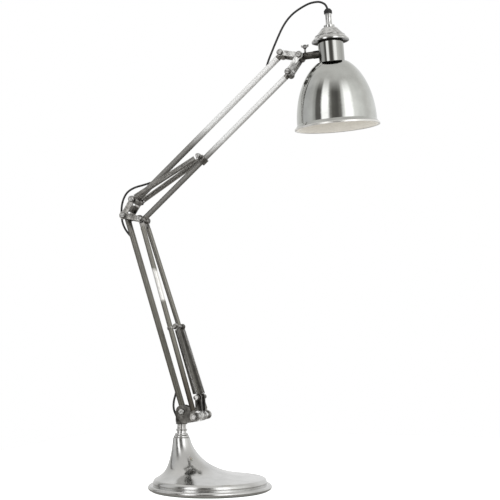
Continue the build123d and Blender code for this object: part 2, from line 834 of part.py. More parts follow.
# Helical springs: half turns of two tangent arcs each, led in from straight stems on the axis
def two_arcs(start, start_along, end, end_along):
    """Adds two tangent arcs that leave one point and reach the other in the given directions."""
    chord = end - start
    spread = 1 - start_along.dot(end_along)
    reach = chord.dot(start_along + end_along)
    if spread < 1e-9:
        length = chord.dot(chord) / (2 * reach)
    else:
        length = (math.sqrt(reach * reach + 2 * spread * chord.dot(chord)) - reach) / (2 * spread)
    first = start + start_along * length
    second = end - end_along * length
    middle = (first + second) * 0.5
    return [(start, middle, start_along), (middle, end, (second - first).normalized())]


def spring(name, start, end):
    """One unbroken wire from a pin to a pin, and the least gap between its turns."""
    along = (end - start).normalized()
    across = Vector(0, 1, 0).cross(along).normalized()
    beside = along.cross(across)
    coil_length = (end - start).length - 2 * (spring_stem + spring_lead)
    coil_start = start + along * (spring_stem + spring_lead)
    pitch = coil_length / spring_turn_count

    def coil_point(turn):
        angle = 2 * math.pi * turn
        radial = across * math.cos(angle) + beside * math.sin(angle)
        return coil_start + along * (pitch * turn) + radial * spring_coil_radius

    def coil_along(turn):
        angle = 2 * math.pi * turn
        round_way = beside * math.cos(angle) - across * math.sin(angle)
        return (round_way * (2 * math.pi * spring_coil_radius) + along * pitch).normalized()

    lead_in = start + along * spring_stem
    lead_out = end - along * spring_stem
    arcs = two_arcs(lead_in, along, coil_point(0), coil_along(0))
    for half in range(2 * spring_turn_count):
        arcs += two_arcs(
            coil_point(half / 2), coil_along(half / 2),
            coil_point((half + 1) / 2), coil_along((half + 1) / 2),
        )
    arcs += two_arcs(coil_point(spring_turn_count), coil_along(spring_turn_count), lead_out, along)
    with BuildPart() as wire:
        with BuildLine() as path:
            Line(start, lead_in)
            for arc_start, arc_end, tangent in arcs:
                TangentArc(arc_start, arc_end, tangent=tangent)
            Line(lead_out, end)
        with BuildSketch(Plane(start, z_dir=along)):
            Circle(spring_wire_radius)
        sweep(path=path.wires()[0])
    keep(wire, name)
    length = path.wires()[0].length
    count = int(length / spring_wire_radius)
    points = [path.wires()[0].position_at(index / count) for index in range(count + 1)]
    skip = int(math.pi * spring_coil_radius / spring_wire_radius)
    gap = min(
        (points[later] - points[earlier]).length
        for earlier in range(count + 1)
        for later in range(earlier + skip, min(count + 1, earlier + 6 * skip))
    ) - 2 * spring_wire_radius
    solid_volume = math.pi * spring_wire_radius**2 * length
    print(f"{name}: least gap {gap:.2f} mm, volume share {wire.part.volume / solid_volume:.4f}")


def spring_between(name, upper_pin, upper_gap, lower_pin, lower_gap):
    """A spring whose stems stop just short of the two pins that carry it."""
    along = (lower_pin - upper_pin).normalized()
    spring(name, upper_pin + along * (upper_gap + side_gap), lower_pin - along * (lower_gap + side_gap))


for spring_name, side in (("lower_spring_front", -1), ("lower_spring_rear", 1)):
    spring_between(
        spring_name,
        bar_axis_point + Vector(0, side * cross_bar_spread, 0),
        cross_bar_radius,
        spring_anchor + Vector(0, side * lower_spring_spread, 0),
        anchor_pin_radius,
    )


# Cast brackets: two cheeks in a V round three pins, tied by webs between them
def bracket_v(name, corner, corner_radius, ends, end_radius, arm_radius, half_gap, cheek_thickness, webs):
    with BuildPart() as bracket:
        for end in ends:
            with BuildSketch(side_plane(-half_gap)) as arm:
                with Locations((corner.X, corner.Z), (end.X, end.Z)):
                    Circle(arm_radius)
                make_hull(arm.edges())
            extrude(amount=cheek_thickness)
        with BuildSketch(side_plane(-half_gap)):
            with Locations((corner.X, corner.Z)):
                Circle(corner_radius)
            with Locations(*[(end.X, end.Z) for end in ends]):
                Circle(end_radius)
        extrude(amount=cheek_thickness)
        mirror(about=Plane.XZ)
        for end, lift, length in webs:
            span = end - corner
            middle = corner + span * 0.5
            with BuildSketch(Plane(middle, x_dir=(0, 1, 0), z_dir=span)):
                with Locations((0, lift)):
                    Rectangle(2 * half_gap, web_thickness)
            extrude(amount=length / 2, both=True)
        for pivot in [corner] + ends:
            with BuildSketch(side_plane(0)):
                with Locations((pivot.X, pivot.Z)):
                    Circle(pin_radius + seat_gap)
            extrude(amount=2 * half_gap, both=True, mode=Mode.SUBTRACT)
    keep(bracket, name)


bracket_v(
    "elbow_bracket", elbow_pivot, elbow_back_radius, [shared_pivot, upper_pivot], elbow_end_radius,
    elbow_arm_radius, elbow_half, elbow_cheek,
    [(shared_pivot, elbow_web_lift, web_length), (upper_pivot, 0, web_length)],
)
elbow_face = elbow_half + elbow_cheek
hook_face = elbow_face + hook_room
group(
    "elbow_bolts",
    [
        bolt(elbow_pivot, -elbow_face, elbow_face),
        bolt(shared_pivot, -elbow_face, elbow_face),
        bolt(upper_pivot, -hook_face, hook_face),
    ],
)
group(
    "elbow_nuts",
    [
        nut(elbow_pivot, elbow_face, nut_flat_radius, pin_radius, nut_height),
        nut(shared_pivot, elbow_face, nut_flat_radius, pin_radius, nut_height),
        nut(upper_pivot, hook_face, nut_flat_radius, pin_radius, nut_height),
    ],
)

# Upper main tube with its two end fittings
upper_tube = tube(
    upper_pivot + upper_along * stem_length,
    head_upper_pivot - upper_along * stem_length,
    main_tube_radius,
    main_tube_wall,
)
upper_tube = cut_cord_hole(upper_tube, upper_tube_entry, elbow_upper_loop[-1])
upper_tube = cut_cord_hole(upper_tube, head_tube_entry, head_lower_loop[0])
group("upper_tube", [upper_tube])
end_fitting(
    "upper_tube_foot", upper_pivot, upper_along, elbow_half - side_gap,
    barrel_radius, main_tube_radius, main_tube_wall,
)
end_fitting(
    "upper_tube_head", head_upper_pivot, -upper_along, head_half - side_gap,
    small_barrel_radius, main_tube_radius, main_tube_wall,
)

# Upper parallel link with its end fittings
shared_barrel_half = pair_head_spread - pair_head_eye_width / 2 - side_gap
group(
    "upper_link_tube",
    [
        tube(
            shared_pivot + upper_along * stem_length,
            head_lower_pivot - upper_along * stem_length,
            upper_link_tube_radius,
            upper_link_tube_wall,
        )
    ],
)
end_fitting(
    "upper_link_foot", shared_pivot, upper_along, shared_barrel_half,
    small_barrel_radius, upper_link_tube_radius, upper_link_tube_wall,
)
end_fitting(
    "upper_link_head", head_lower_pivot, -upper_along, head_half - side_gap,
    small_barrel_radius, upper_link_tube_radius, upper_link_tube_wall,
)

# Split clamp on the upper link, with the cross bolt that holds the upper springs
clamp_point = shared_pivot + upper_along * clamp_distance
clamp_bolt_point = clamp_point + upper_across * clamp_ear_rise
with BuildPart() as spring_clamp:
    with BuildSketch(Plane(clamp_point, x_dir=upper_across, z_dir=upper_along)):
        Circle(clamp_radius)
        with Locations((clamp_ear_rise / 2, 0)):
            Rectangle(clamp_ear_rise, clamp_ear_width)
    extrude(amount=clamp_width / 2, both=True)
    with BuildSketch(pin_plane(clamp_bolt_point, -clamp_ear_width / 2)):
        Circle(clamp_ear_radius)
    extrude(amount=clamp_ear_width)
    with BuildSketch(Plane(clamp_point, x_dir=upper_across, z_dir=upper_along)):
        Circle(upper_link_tube_radius + seat_gap)
        with Locations((clamp_ear_rise, 0)):
            Rectangle(2 * clamp_ear_rise, clamp_slit)
    extrude(amount=clamp_width, both=True, mode=Mode.SUBTRACT)
    with BuildSketch(pin_plane(clamp_bolt_point, -clamp_ear_width)):
        Circle(clamp_bolt_radius + seat_gap)
    extrude(amount=2 * clamp_ear_width, mode=Mode.SUBTRACT)
keep(spring_clamp, "spring_clamp")

with BuildPart() as clamp_bolt:
    with BuildSketch(pin_plane(clamp_bolt_point, -clamp_bolt_half)):
        Circle(clamp_bolt_radius)
    extrude(amount=2 * clamp_bolt_half)
    with BuildSketch(pin_plane(clamp_bolt_point, clamp_bolt_half)):
        RegularPolygon(clamp_bolt_head_radius, nut_sides)
    extrude(amount=clamp_bolt_head)
    with BuildSketch(pin_plane(clamp_bolt_point, -clamp_bolt_half - clamp_bolt_head)):
        Circle(clamp_bolt_head_radius)
    extrude(amount=clamp_bolt_head)
keep(clamp_bolt, "clamp_bolt")

for spring_name, side in (("upper_spring_front", -1), ("upper_spring_rear", 1)):
    spring_between(
        spring_name,
        upper_pivot + Vector(0, side * (elbow_face + hook_room / 2), 0),
        pin_radius,
        clamp_bolt_point + Vector(0, side * upper_spring_spread, 0),
        clamp_bolt_radius,
    )

# Head bracket, bolts and nuts
bracket_v(
    "head_bracket", tilt_pivot, head_nose_radius, [head_upper_pivot, head_lower_pivot], head_end_radius,
    head_arm_radius, head_half, head_cheek,
    [(head_upper_pivot, 0, head_web_length), (head_lower_pivot, 0, head_web_length)],
)
head_face = head_half + head_cheek
head_pivots = (head_upper_pivot, head_lower_pivot, tilt_pivot)
group("head_bolts", [bolt(pivot, -head_face, head_face) for pivot in head_pivots])
group(
    "head_nuts",
    [nut(pivot, head_face, nut_flat_radius, pin_radius, nut_height) for pivot in head_pivots],
)

# Knuckle: a barrel on the tilt pin and a split sleeve that holds the shade's rod
tilt = math.radians(head_tilt)
roll = math.radians(head_roll)
rod_along = Vector(math.cos(tilt), 0, math.sin(tilt))
knuckle_up = Vector(-math.sin(tilt), 0, math.cos(tilt))
screw_foot = tilt_pivot + rod_along * screw_reach
with BuildPart() as head_knuckle:
    with BuildSketch(pin_plane(tilt_pivot, -head_half + side_gap)):
        Circle(knuckle_barrel_radius)
    extrude(amount=head_gap - 2 * side_gap)
    with BuildSketch(Plane(tilt_pivot, z_dir=rod_along)):
        Circle(knuckle_sleeve_radius)
    extrude(amount=knuckle_sleeve_length)
    with BuildSketch(Plane(tilt_pivot + rod_along * knuckle_floor, z_dir=rod_along)):
        Circle(rod_radius + running_gap)
    extrude(amount=knuckle_sleeve_length, mode=Mode.SUBTRACT)
    with BuildSketch(pin_plane(tilt_pivot, -head_half)):
        Circle(pin_radius + running_gap)
    extrude(amount=head_gap, mode=Mode.SUBTRACT)
    with BuildSketch(Plane(screw_foot, x_dir=rod_along, z_dir=knuckle_up)):
        Circle(screw_radius + running_gap)
    extrude(amount=knuckle_sleeve_radius + cut_overrun, mode=Mode.SUBTRACT)
    slit_start = tilt_pivot + rod_along * (knuckle_sleeve_length - knuckle_slit_length)
    with BuildSketch(Plane(slit_start, x_dir=(0, 1, 0), z_dir=rod_along)):
        with Locations((knuckle_sleeve_radius, 0), (-knuckle_sleeve_radius, 0)):
            Rectangle(knuckle_sleeve_radius, knuckle_slit)
    extrude(amount=knuckle_sleeve_length, mode=Mode.SUBTRACT)
keep(head_knuckle, "head_knuckle")

# Thumb screw with two wings
screw_plane = Plane(screw_foot, x_dir=rod_along, z_dir=knuckle_up)
wing_plane = Plane(screw_foot, x_dir=rod_along, z_dir=(0, -1, 0))
wing_bottom = screw_rise - wing_height / 2
with BuildPart() as thumb_screw:
    with BuildSketch(screw_plane.offset(rod_radius + side_gap)):
        Circle(screw_radius)
    extrude(amount=screw_rise - rod_radius)
    with BuildSketch(screw_plane.offset(screw_rise - screw_neck_height)):
        Circle(screw_neck_radius)
    extrude(amount=screw_neck_height + wing_height / 2)
    chamfer(
        thumb_screw.edges().filter_by(GeomType.CIRCLE).sort_by(SortBy.RADIUS)[-2:],
        screw_neck_radius / 4,
    )
    with BuildSketch(wing_plane):
        with BuildLine():
            Polyline(
                (0, wing_bottom),
                (screw_neck_radius, wing_bottom),
                (wing_span / 2, wing_bottom + wing_notch),
                (wing_span / 2, wing_bottom + wing_height),
                (screw_neck_radius, wing_bottom + wing_height - wing_notch / 2),
                (0, wing_bottom + wing_height - wing_notch),
                (-screw_neck_radius, wing_bottom + wing_height - wing_notch / 2),
                (-wing_span / 2, wing_bottom + wing_height),
                (-wing_span / 2, wing_bottom + wing_notch),
                (-screw_neck_radius, wing_bottom),
                close=True,
            )
        make_face()
    extrude(amount=wing_thickness / 2, both=True)
keep(thumb_screw, "thumb_screw")

# Head frame: origin where the rod's axis meets the shade's axis, X along the rod, Z up the shade
shade_up = knuckle_up * math.cos(roll) + Vector(0, -1, 0) * math.sin(roll)
head_origin = tilt_pivot + rod_along * neck_reach
head_plane = Plane(head_origin, x_dir=rod_along, z_dir=shade_up)
profile_plane = Plane(head_origin, x_dir=rod_along, z_dir=rod_along.cross(shade_up))
shade_axis = Axis(head_origin, shade_up)

# Turned rod: a spigot in the knuckle, a groove under the thumb screw and a collar against the neck
collar_start = knuckle_sleeve_length + side_gap
neck_face = neck_reach - shade_neck_radius
with BuildPart() as head_rod:
    with BuildSketch(Plane(tilt_pivot + rod_along * (knuckle_floor + side_gap), z_dir=rod_along)):
        Circle(rod_radius)
    extrude(amount=neck_face + shade_neck_wall + rod_inner_length - knuckle_floor - side_gap)
    with BuildSketch(Plane(tilt_pivot + rod_along * collar_start, z_dir=rod_along)):
        Circle(rod_collar_radius)
    extrude(amount=neck_reach - collar_start - shade_neck_radius / 2)
    with BuildSketch(Plane(head_origin - shade_up * shade_neck_below, x_dir=rod_along, z_dir=shade_up)):
        Circle(shade_neck_radius + seat_gap)
    extrude(amount=shade_neck_below + shade_neck_above, mode=Mode.SUBTRACT)
    with BuildSketch(Plane(tilt_pivot + rod_along * (neck_face - rod_radius), z_dir=rod_along)):
        Circle(rod_radius)
    extrude(amount=rod_radius + shade_neck_wall + rod_inner_length)
    groove_start = screw_reach - rod_groove_width / 2
    with BuildSketch(Plane(tilt_pivot + rod_along * groove_start, z_dir=rod_along)):
        Circle(rod_radius + cut_overrun)
        Circle(rod_radius - rod_groove_depth, mode=Mode.SUBTRACT)
    extrude(amount=rod_groove_width, mode=Mode.SUBTRACT)
keep(head_rod, "head_rod")

# Neck of the shade: a drum with a top plate
with BuildPart() as shade_neck:
    with BuildSketch(head_plane.offset(-shade_neck_below)):
        Circle(shade_neck_radius)
    extrude(amount=shade_neck_below + shade_neck_above)
    with BuildSketch(head_plane.offset(-shade_neck_below)):
        Circle(shade_neck_radius - shade_neck_wall)
    extrude(amount=shade_neck_below + shade_neck_above - shade_top_plate, mode=Mode.SUBTRACT)
    with BuildSketch(head_plane):
        Circle(nipple_radius + seat_gap)
    extrude(amount=shade_neck_above + cut_overrun, mode=Mode.SUBTRACT)
    with BuildSketch(Plane(head_origin, z_dir=-rod_along)):
        Circle(rod_radius + seat_gap)
    extrude(amount=shade_neck_radius + cut_overrun, mode=Mode.SUBTRACT)
keep(shade_neck, "shade_neck")

# Spun bell: an elliptical dome, a flared rim and a rolled lip
bell_top = -shade_neck_below
bell_bottom = bell_top - bell_height
curve_level = bell_bottom + bell_rim_height
curve_drop = bell_top - curve_level
bell_curve_rise = bell_height + bell_curve_extra


def bell_curve(radius, rise_radius, top):
    """Points of an upright quarter ellipse from its widest level up to a given height above it."""
    end_angle = math.asin(top / rise_radius)
    angles = [end_angle * index / bell_curve_step_count for index in range(bell_curve_step_count + 1)]
    return [
        (radius * math.cos(angle), curve_level + rise_radius * math.sin(angle)) for angle in angles
    ]


rim_radius = bell_radius + bell_rim_flare
with BuildPart() as shade_dome:
    with BuildSketch(profile_plane):
        with BuildLine():
            outer = Spline(*bell_curve(bell_radius, bell_curve_rise, curve_drop))
            inner = Spline(
                *bell_curve(bell_radius - bell_wall, bell_curve_rise - bell_wall, curve_drop - bell_wall)
            )
            Polyline(
                outer @ 0,
                (rim_radius, bell_bottom + bell_lip),
                (rim_radius + bell_wall, bell_bottom + bell_lip),
                (rim_radius + bell_wall, bell_bottom),
                (rim_radius - bell_wall, bell_bottom),
                inner @ 0,
            )
            Polyline(
                outer @ 1,
                (bell_mouth_radius, bell_top),
                (bell_mouth_radius, bell_top - bell_wall),
                inner @ 1,
            )
        make_face()
    revolve(axis=shade_axis)
keep(shade_dome, "shade_dome")

# Conical cap with a rolled brim, a ridge round its slope and a shoulder
cap_bottom = shade_neck_above
cap_top = cap_bottom + cap_height
cap_shoulder = cap_top - cap_shoulder_drop
slope = Vector(cap_shoulder_radius - cap_brim_radius, cap_shoulder - cap_bottom)
slope_along = slope.normalized()
ridge_middle = Vector(cap_brim_radius, cap_bottom) + slope * cap_ridge_share
ridge_low = ridge_middle - slope_along * (cap_ridge_width / 2)
ridge_high = ridge_middle + slope_along * (cap_ridge_width / 2)
ridge_crest = ridge_middle + Vector(slope_along.Y, -slope_along.X) * cap_ridge_bulge
with BuildPart() as shade_cap:
    with BuildSketch(profile_plane):
        with BuildLine():
            Polyline(
                (nipple_radius + seat_gap, cap_bottom),
                (shade_neck_radius + cap_wall, cap_bottom),
                (cap_brim_radius - cap_wall, cap_bottom - cap_brim_lip),
                (cap_brim_radius, cap_bottom - cap_brim_lip),
                (cap_brim_radius, cap_bottom),
                ridge_low,
            )
            ThreePointArc(ridge_low, ridge_crest, ridge_high)
            Line(ridge_high, (cap_shoulder_radius, cap_shoulder))
            ThreePointArc(
                (cap_shoulder_radius, cap_shoulder),
                (
                    (cap_shoulder_radius + cap_top_radius) / 2 + cap_wall / 2,
                    (cap_shoulder + cap_top) / 2 + cap_wall / 2,
                ),
                (cap_top_radius, cap_top),
            )
            Polyline(
                (cap_top_radius, cap_top),
                (nipple_radius + seat_gap, cap_top),
                (nipple_radius + seat_gap, cap_top - cap_wall),
                (cap_shoulder_radius - cap_wall, cap_shoulder - cap_wall),
                (shade_neck_radius - cap_wall, cap_bottom + cap_wall),
                (nipple_radius + seat_gap, cap_bottom + cap_wall),
                (nipple_radius + seat_gap, cap_bottom),
            )
        make_face()
    revolve(axis=shade_axis)
keep(shade_cap, "shade_cap")

# Turned ferrule and cord gland on top of the cap
ferrule_bottom = cap_top
ferrule_step = ferrule_bottom + ferrule_collar_height
ferrule_top = ferrule_step + ferrule_height
with BuildPart() as cap_ferrule:
    with BuildSketch(profile_plane):
        with BuildLine():
            Polyline(
                (ferrule_radius, ferrule_step),
                (ferrule_collar_radius, ferrule_step),
                (ferrule_collar_radius, ferrule_bottom),
                (nipple_radius + seat_gap, ferrule_bottom),
                (nipple_radius + seat_gap, ferrule_top),
                (ferrule_radius, ferrule_top),
            )
            ThreePointArc(
                (ferrule_radius, ferrule_top),
                (ferrule_radius - ferrule_waist_depth, (ferrule_step + ferrule_top) / 2),
                (ferrule_radius, ferrule_step),
            )
        make_face()
    revolve(axis=shade_axis)
keep(cap_ferrule, "cap_ferrule")

gland_top = ferrule_top + gland_height
gland_shoulder = ferrule_top + gland_height * gland_shoulder_share
with BuildPart() as cord_gland:
    with BuildSketch(profile_plane):
        with BuildLine():
            Polyline(
                (cord_radius + seat_gap, ferrule_top),
                (gland_radius, ferrule_top),
                (gland_radius, gland_shoulder),
                (gland_tip_radius, gland_top),
                (cord_radius + seat_gap, gland_top),
                close=True,
            )
        make_face()
    revolve(axis=shade_axis)
keep(cord_gland, "cord_gland")

# Lamp holder with its nipple, the ring that clamps the bell, and the bulb
skirt_bottom = bell_top - holder_skirt_length
with BuildPart() as lampholder:
    with BuildSketch(profile_plane):
        with BuildLine():
            Polyline(
                (nipple_bore_radius, skirt_bottom + socket_depth),
                (socket_radius, skirt_bottom + socket_depth),
                (socket_radius, skirt_bottom),
                (holder_skirt_radius, skirt_bottom),
                (holder_skirt_radius, bell_top),
                (holder_radius, bell_top),
                (holder_radius, holder_above - nipple_radius),
                (holder_radius - nipple_radius, holder_above),
                (nipple_radius, holder_above),
                (nipple_radius, ferrule_top - seat_gap),
                (nipple_bore_radius, ferrule_top - seat_gap),
                close=True,
            )
        make_face()
    revolve(axis=shade_axis)
keep(lampholder, "lampholder")

with BuildPart() as shade_ring:
    with BuildSketch(head_plane.offset(bell_top - bell_wall - ring_height)):
        Circle(ring_radius)
        Circle(holder_skirt_radius + seat_gap, mode=Mode.SUBTRACT)
    extrude(amount=ring_height)
    chamfer(shade_ring.edges().filter_by(GeomType.CIRCLE).sort_by(SortBy.RADIUS)[-2:], bell_wall / 2)
keep(shade_ring, "shade_ring")

bulb_top = skirt_bottom + socket_depth - side_gap
bulb_middle = skirt_bottom - bulb_length * bulb_shoulder_share
with BuildPart() as bulb:
    with BuildSketch(profile_plane):
        with BuildLine():
            Polyline(
                (bulb_cap_radius, skirt_bottom),
                (bulb_cap_radius, bulb_top),
                (0, bulb_top),
                (0, bulb_middle - bulb_radius),
            )
            ThreePointArc(
                (0, bulb_middle - bulb_radius),
                (bulb_radius * math.sqrt(0.5), bulb_middle - bulb_radius * math.sqrt(0.5)),
                (bulb_radius, bulb_middle),
            )
            TangentArc((bulb_radius, bulb_middle), (bulb_cap_radius, skirt_bottom), tangent=(0, 1))
        make_face()
    revolve(axis=shade_axis)
keep(bulb, "bulb")


# Cord: straight runs joined by the largest arcs that fit
def cord_tube(name, points):
    radii = []
    for before, corner, after in zip(points, points[1:], points[2:]):
        turn = math.radians((corner - before).get_angle(after - corner))
        shorter = min((corner - before).length, (after - corner).length)
        radii.append(cord_arc_share * shorter / math.tan(turn / 2))
    with BuildPart() as cord:
        with BuildLine() as path:
            FilletPolyline(*points, radius=radii)
        with BuildSketch(Plane(points[0], z_dir=points[1] - points[0])):
            Circle(cord_radius)
        sweep(path=path.wires()[0])
    keep(cord, name)
    length = path.wires()[0].length
    share = cord.part.volume / (math.pi * cord_radius**2 * length)
    print(f"{name}: length {length:.1f} mm, volume share {share:.4f}, radii",
          " ".join(f"{radius:.1f}" for radius in radii))


gland_exit = head_origin + shade_up * gland_top
cord_bottom = head_origin + shade_up * (ferrule_top + seat_gap)
head_upper_loop = [
    point + Vector(0, depth_share, 0) * head_loop_size
    for point, depth_share in zip(
        loop_points(head_upper_pivot, head_loop_size, head_upper_shares), head_upper_depth_shares
    )
]
head_upper_split = (head_middle_loop[-1] + head_upper_loop[0]) * 0.5
cord_tube("cord_base_loop", [lower_tube_entry] + base_loop + [cord_port_end])
cord_tube("cord_elbow_lower", [elbow_tube_entry] + elbow_lower_loop + [elbow_split])
cord_tube("cord_elbow_upper", [elbow_split] + elbow_upper_loop + [upper_tube_entry])
cord_tube("cord_head_lower", [head_tube_entry] + head_lower_loop + [head_lower_split])
cord_tube("cord_head_middle", [head_lower_split] + head_middle_loop + [head_upper_split])
cord_tube(
    "cord_head_upper",
    [head_upper_split] + head_upper_loop + [gland_exit + shade_up * gland_run, cord_bottom],
)
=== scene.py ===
"""Nickel-plated desk lamp with two spring-balanced arms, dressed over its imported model.

All sizes are in metres in the lamp's own frame: swivel axis on Z, shade towards +X, arm pins along Y.
"""
import json
import math

import bpy
from mathutils import Matrix, Vector


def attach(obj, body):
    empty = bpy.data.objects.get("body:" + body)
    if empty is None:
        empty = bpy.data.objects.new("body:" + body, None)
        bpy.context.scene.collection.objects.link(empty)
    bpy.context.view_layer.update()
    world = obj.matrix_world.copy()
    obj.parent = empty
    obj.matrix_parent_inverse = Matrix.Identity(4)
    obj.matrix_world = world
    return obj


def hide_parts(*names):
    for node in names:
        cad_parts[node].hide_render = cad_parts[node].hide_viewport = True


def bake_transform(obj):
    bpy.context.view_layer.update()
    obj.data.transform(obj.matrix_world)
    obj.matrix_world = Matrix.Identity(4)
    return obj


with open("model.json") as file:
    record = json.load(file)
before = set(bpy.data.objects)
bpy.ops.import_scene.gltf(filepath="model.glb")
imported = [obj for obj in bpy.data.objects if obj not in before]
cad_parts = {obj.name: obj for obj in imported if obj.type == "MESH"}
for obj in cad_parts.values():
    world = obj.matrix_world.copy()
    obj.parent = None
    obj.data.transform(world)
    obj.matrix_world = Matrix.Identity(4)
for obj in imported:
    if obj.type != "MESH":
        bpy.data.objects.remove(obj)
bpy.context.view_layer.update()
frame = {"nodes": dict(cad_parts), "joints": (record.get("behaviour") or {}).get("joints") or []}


# Photographer's table: a sheet of matte white paper that glows evenly and runs out of sight. It lies
# just under the felt, and the plated metal doesn't mirror it.
def linear(code):
    """Linear colour with alpha from an sRGB hex code."""
    shares = [int(code[i:i + 2], 16) / 255 for i in (0, 2, 4)]
    return tuple(s / 12.92 if s <= 0.04045 else ((s + 0.055) / 1.055) ** 2.4 for s in shares) + (1.0,)


def grain(millimetres):
    """Scale of a pattern with grains this wide, most of them drawn coarser than life so that they show."""
    return 1000 / millimetres


def add(tree, kind, links=None, inputs=None, stops=(), **settings):
    """Adds a node with its settings, its socket values, the links that feed it and its colour stops."""
    node = tree.nodes.new(kind)
    for name, value in settings.items():
        setattr(node, name, value)
    for name, value in (inputs or {}).items():
        node.inputs[name].default_value = value
    for name, (source, output) in (links or {}).items():
        tree.links.new(source.outputs[output], node.inputs[name])
    for _ in stops[2:]:
        node.color_ramp.elements.new(0.5)
    for count, (place, code) in enumerate(stops):
        node.color_ramp.elements[count].position = place
        node.color_ramp.elements[count].color = linear(code)
    return node


def new_material(name):
    """An empty material and its node tree."""
    material = bpy.data.materials.new(name)
    material.use_nodes = True
    material.node_tree.nodes.clear()
    return material, material.node_tree


paper_width = 1.6
paper_place = (0.1, 0.45, -0.0004)
bpy.ops.object.select_all(action="DESELECT")
bpy.ops.mesh.primitive_plane_add(size=paper_width, location=paper_place)
paper = bpy.context.object
paper.name = "paper_floor"
# Matte paper gives an even white without shine, hardly broken by its fibres.
matte_paper, tree = new_material("matte white paper")
coords = add(tree, "ShaderNodeTexCoord")
fibres = add(tree, "ShaderNodeTexNoise", {"Vector": (coords, "Object")}, {"Scale": grain(2.5), "Detail": 3.0})
bump = add(tree, "ShaderNodeBump", {"Height": (fibres, "Fac")}, {"Strength": 0.02, "Distance": 0.0002})
shader = add(
    tree, "ShaderNodeBsdfPrincipled", {"Normal": (bump, "Normal")},
    {
        "Base Color": linear("FAFAFA"), "Roughness": 0.9,
        "Emission Color": linear("FFFFFF"), "Emission Strength": 1.0,
    },
)
add(tree, "ShaderNodeOutputMaterial", {"Surface": (shader, "BSDF")})
paper.data.materials.append(matte_paper)
paper.visible_glossy = False

# Light tent: white panels with dark gaps between them all round the lamp, a grey cover above and a dark
# skirt below. It gives the plated metal its bright and dark bands, and the camera sees plain white.
studio = bpy.data.worlds.new("studio")
bpy.context.scene.world = studio
studio.use_nodes = True
tree = studio.node_tree
tree.nodes.clear()
way = add(tree, "ShaderNodeTexCoord")
parts = add(tree, "ShaderNodeSeparateXYZ", {"Vector": (way, "Generated")})
turn = add(tree, "ShaderNodeMath", {0: (parts, "Y"), 1: (parts, "X")}, operation="ARCTAN2")
bands = add(
    tree, "ShaderNodeMapRange", {"Value": (turn, "Value")},
    {"From Min": -math.pi, "From Max": math.pi, "To Min": 0.0, "To Max": 1.0},
)
# Each stop is a place round the tent, as a share of a turn, and the panel's colour there. The turn starts
# on the -X side and comes to the front, -Y, at a quarter.
panel_stops = (
    (0.00, "9C9C9C"), (0.065, "A2A2A1"), (0.095, "8A8A88"), (0.115, "4C4B49"), (0.148, "4E4D4B"),
    (0.168, "F6F6F6"), (0.207, "F6F6F6"), (0.232, "73726F"), (0.25, "504F4C"), (0.285, "484745"),
    (0.312, "62615E"), (0.337, "CCCCCB"), (0.352, "FFFFFF"), (0.398, "FFFFFF"), (0.43, "C8C8C6"),
    (0.487, "B8B8B6"), (0.56, "ACABA9"), (0.65, "B4B4B3"), (0.74, "B4B4B4"), (0.86, "A8A8A7"),
    (0.930, "A0A09E"), (0.946, "9C9B99"), (0.952, "4A4947"), (0.966, "4A4947"), (0.973, "9C9C9C"),
    (1.00, "9C9C9C"),
)
panels = add(tree, "ShaderNodeValToRGB", {"Fac": (bands, "Result")}, stops=panel_stops)
panels.color_ramp.interpolation = "EASE"
height = add(
    tree, "ShaderNodeMapRange", {"Value": (parts, "Z")},
    {"From Min": 0.53, "From Max": 0.78, "To Min": 0.0, "To Max": 1.0},
)
overhead = add(
    tree, "ShaderNodeMix", {"Factor": (height, "Result"), "A": (panels, "Color")},
    {"B": linear("A3A2A0")}, data_type="RGBA",
)
depth = add(
    tree, "ShaderNodeMapRange", {"Value": (parts, "Z")},
    {"From Min": -0.10, "From Max": -0.18, "To Min": 0.0, "To Max": 1.0},
)
below = add(
    tree, "ShaderNodeMix", {"Factor": (depth, "Result"), "A": (overhead, "Result")},
    {"B": linear("6E6C69")}, data_type="RGBA",
)
sight = add(tree, "ShaderNodeLightPath")
room = add(tree, "ShaderNodeBackground", {"Color": (below, "Result")}, {"Strength": 2.0})
white = add(tree, "ShaderNodeBackground", None, {"Color": linear("FFFFFF"), "Strength": 1.0})
choice = add(
    tree, "ShaderNodeMixShader",
    {"Fac": (sight, "Is Camera Ray"), 1: (room, "Background"), 2: (white, "Background")},
)
add(tree, "ShaderNodeOutputWorld", {"Surface": (choice, "Shader")})

# Strip lights: two wide, weak and soft lamps that face the upper arm, from its side and from the front.
# Flags keep them off all but the upper tubes, the front link, the axle's sleeves and the bell's lining.
nodes = frame["nodes"]
strip_width = 1.6
strip_aim = Vector((0.08, 0, 0.74))
strip_targets = bpy.data.collections.new("lit_by_strips")
for name in ("upper_tube", "upper_link_tube", "link_front_tube", "axle_sleeves"):
    strip_targets.objects.link(nodes[name])
for name, place, power in (
    ("side_strip", (-0.67, -0.54, 1.5), 1.2),
    ("front_strip", (0.4, -1.5, 0.35), 4.6),
):
    bpy.ops.object.light_add(type="AREA", location=place)
    strip = bpy.context.object
    strip.name = name
    strip.data.energy = power
    strip.data.size = strip_width
    strip.rotation_euler = (strip_aim - Vector(place)).to_track_quat("-Z", "Y").to_euler()
    strip.light_linking.receiver_collection = strip_targets

# Camera: where the photograph was taken from, low, a little to the shade's side and looking slightly up.
# Its place and its lens were fitted to the photograph, which is 500 pixels wide.
camera_place = (0.659, -1.787, 0.2685)
camera_tilt = math.radians(95.98)
camera_turn = math.radians(16.2)
focal_pixels = 954
image_pixels = 500
film_width = 36.0
bpy.ops.object.camera_add(location=camera_place, rotation=(camera_tilt, 0, camera_turn))
camera = bpy.context.object
camera.data.sensor_width = film_width
camera.data.lens = focal_pixels / image_pixels * film_width
bpy.context.scene.camera = camera
bpy.context.scene.view_settings.view_transform = "Standard"


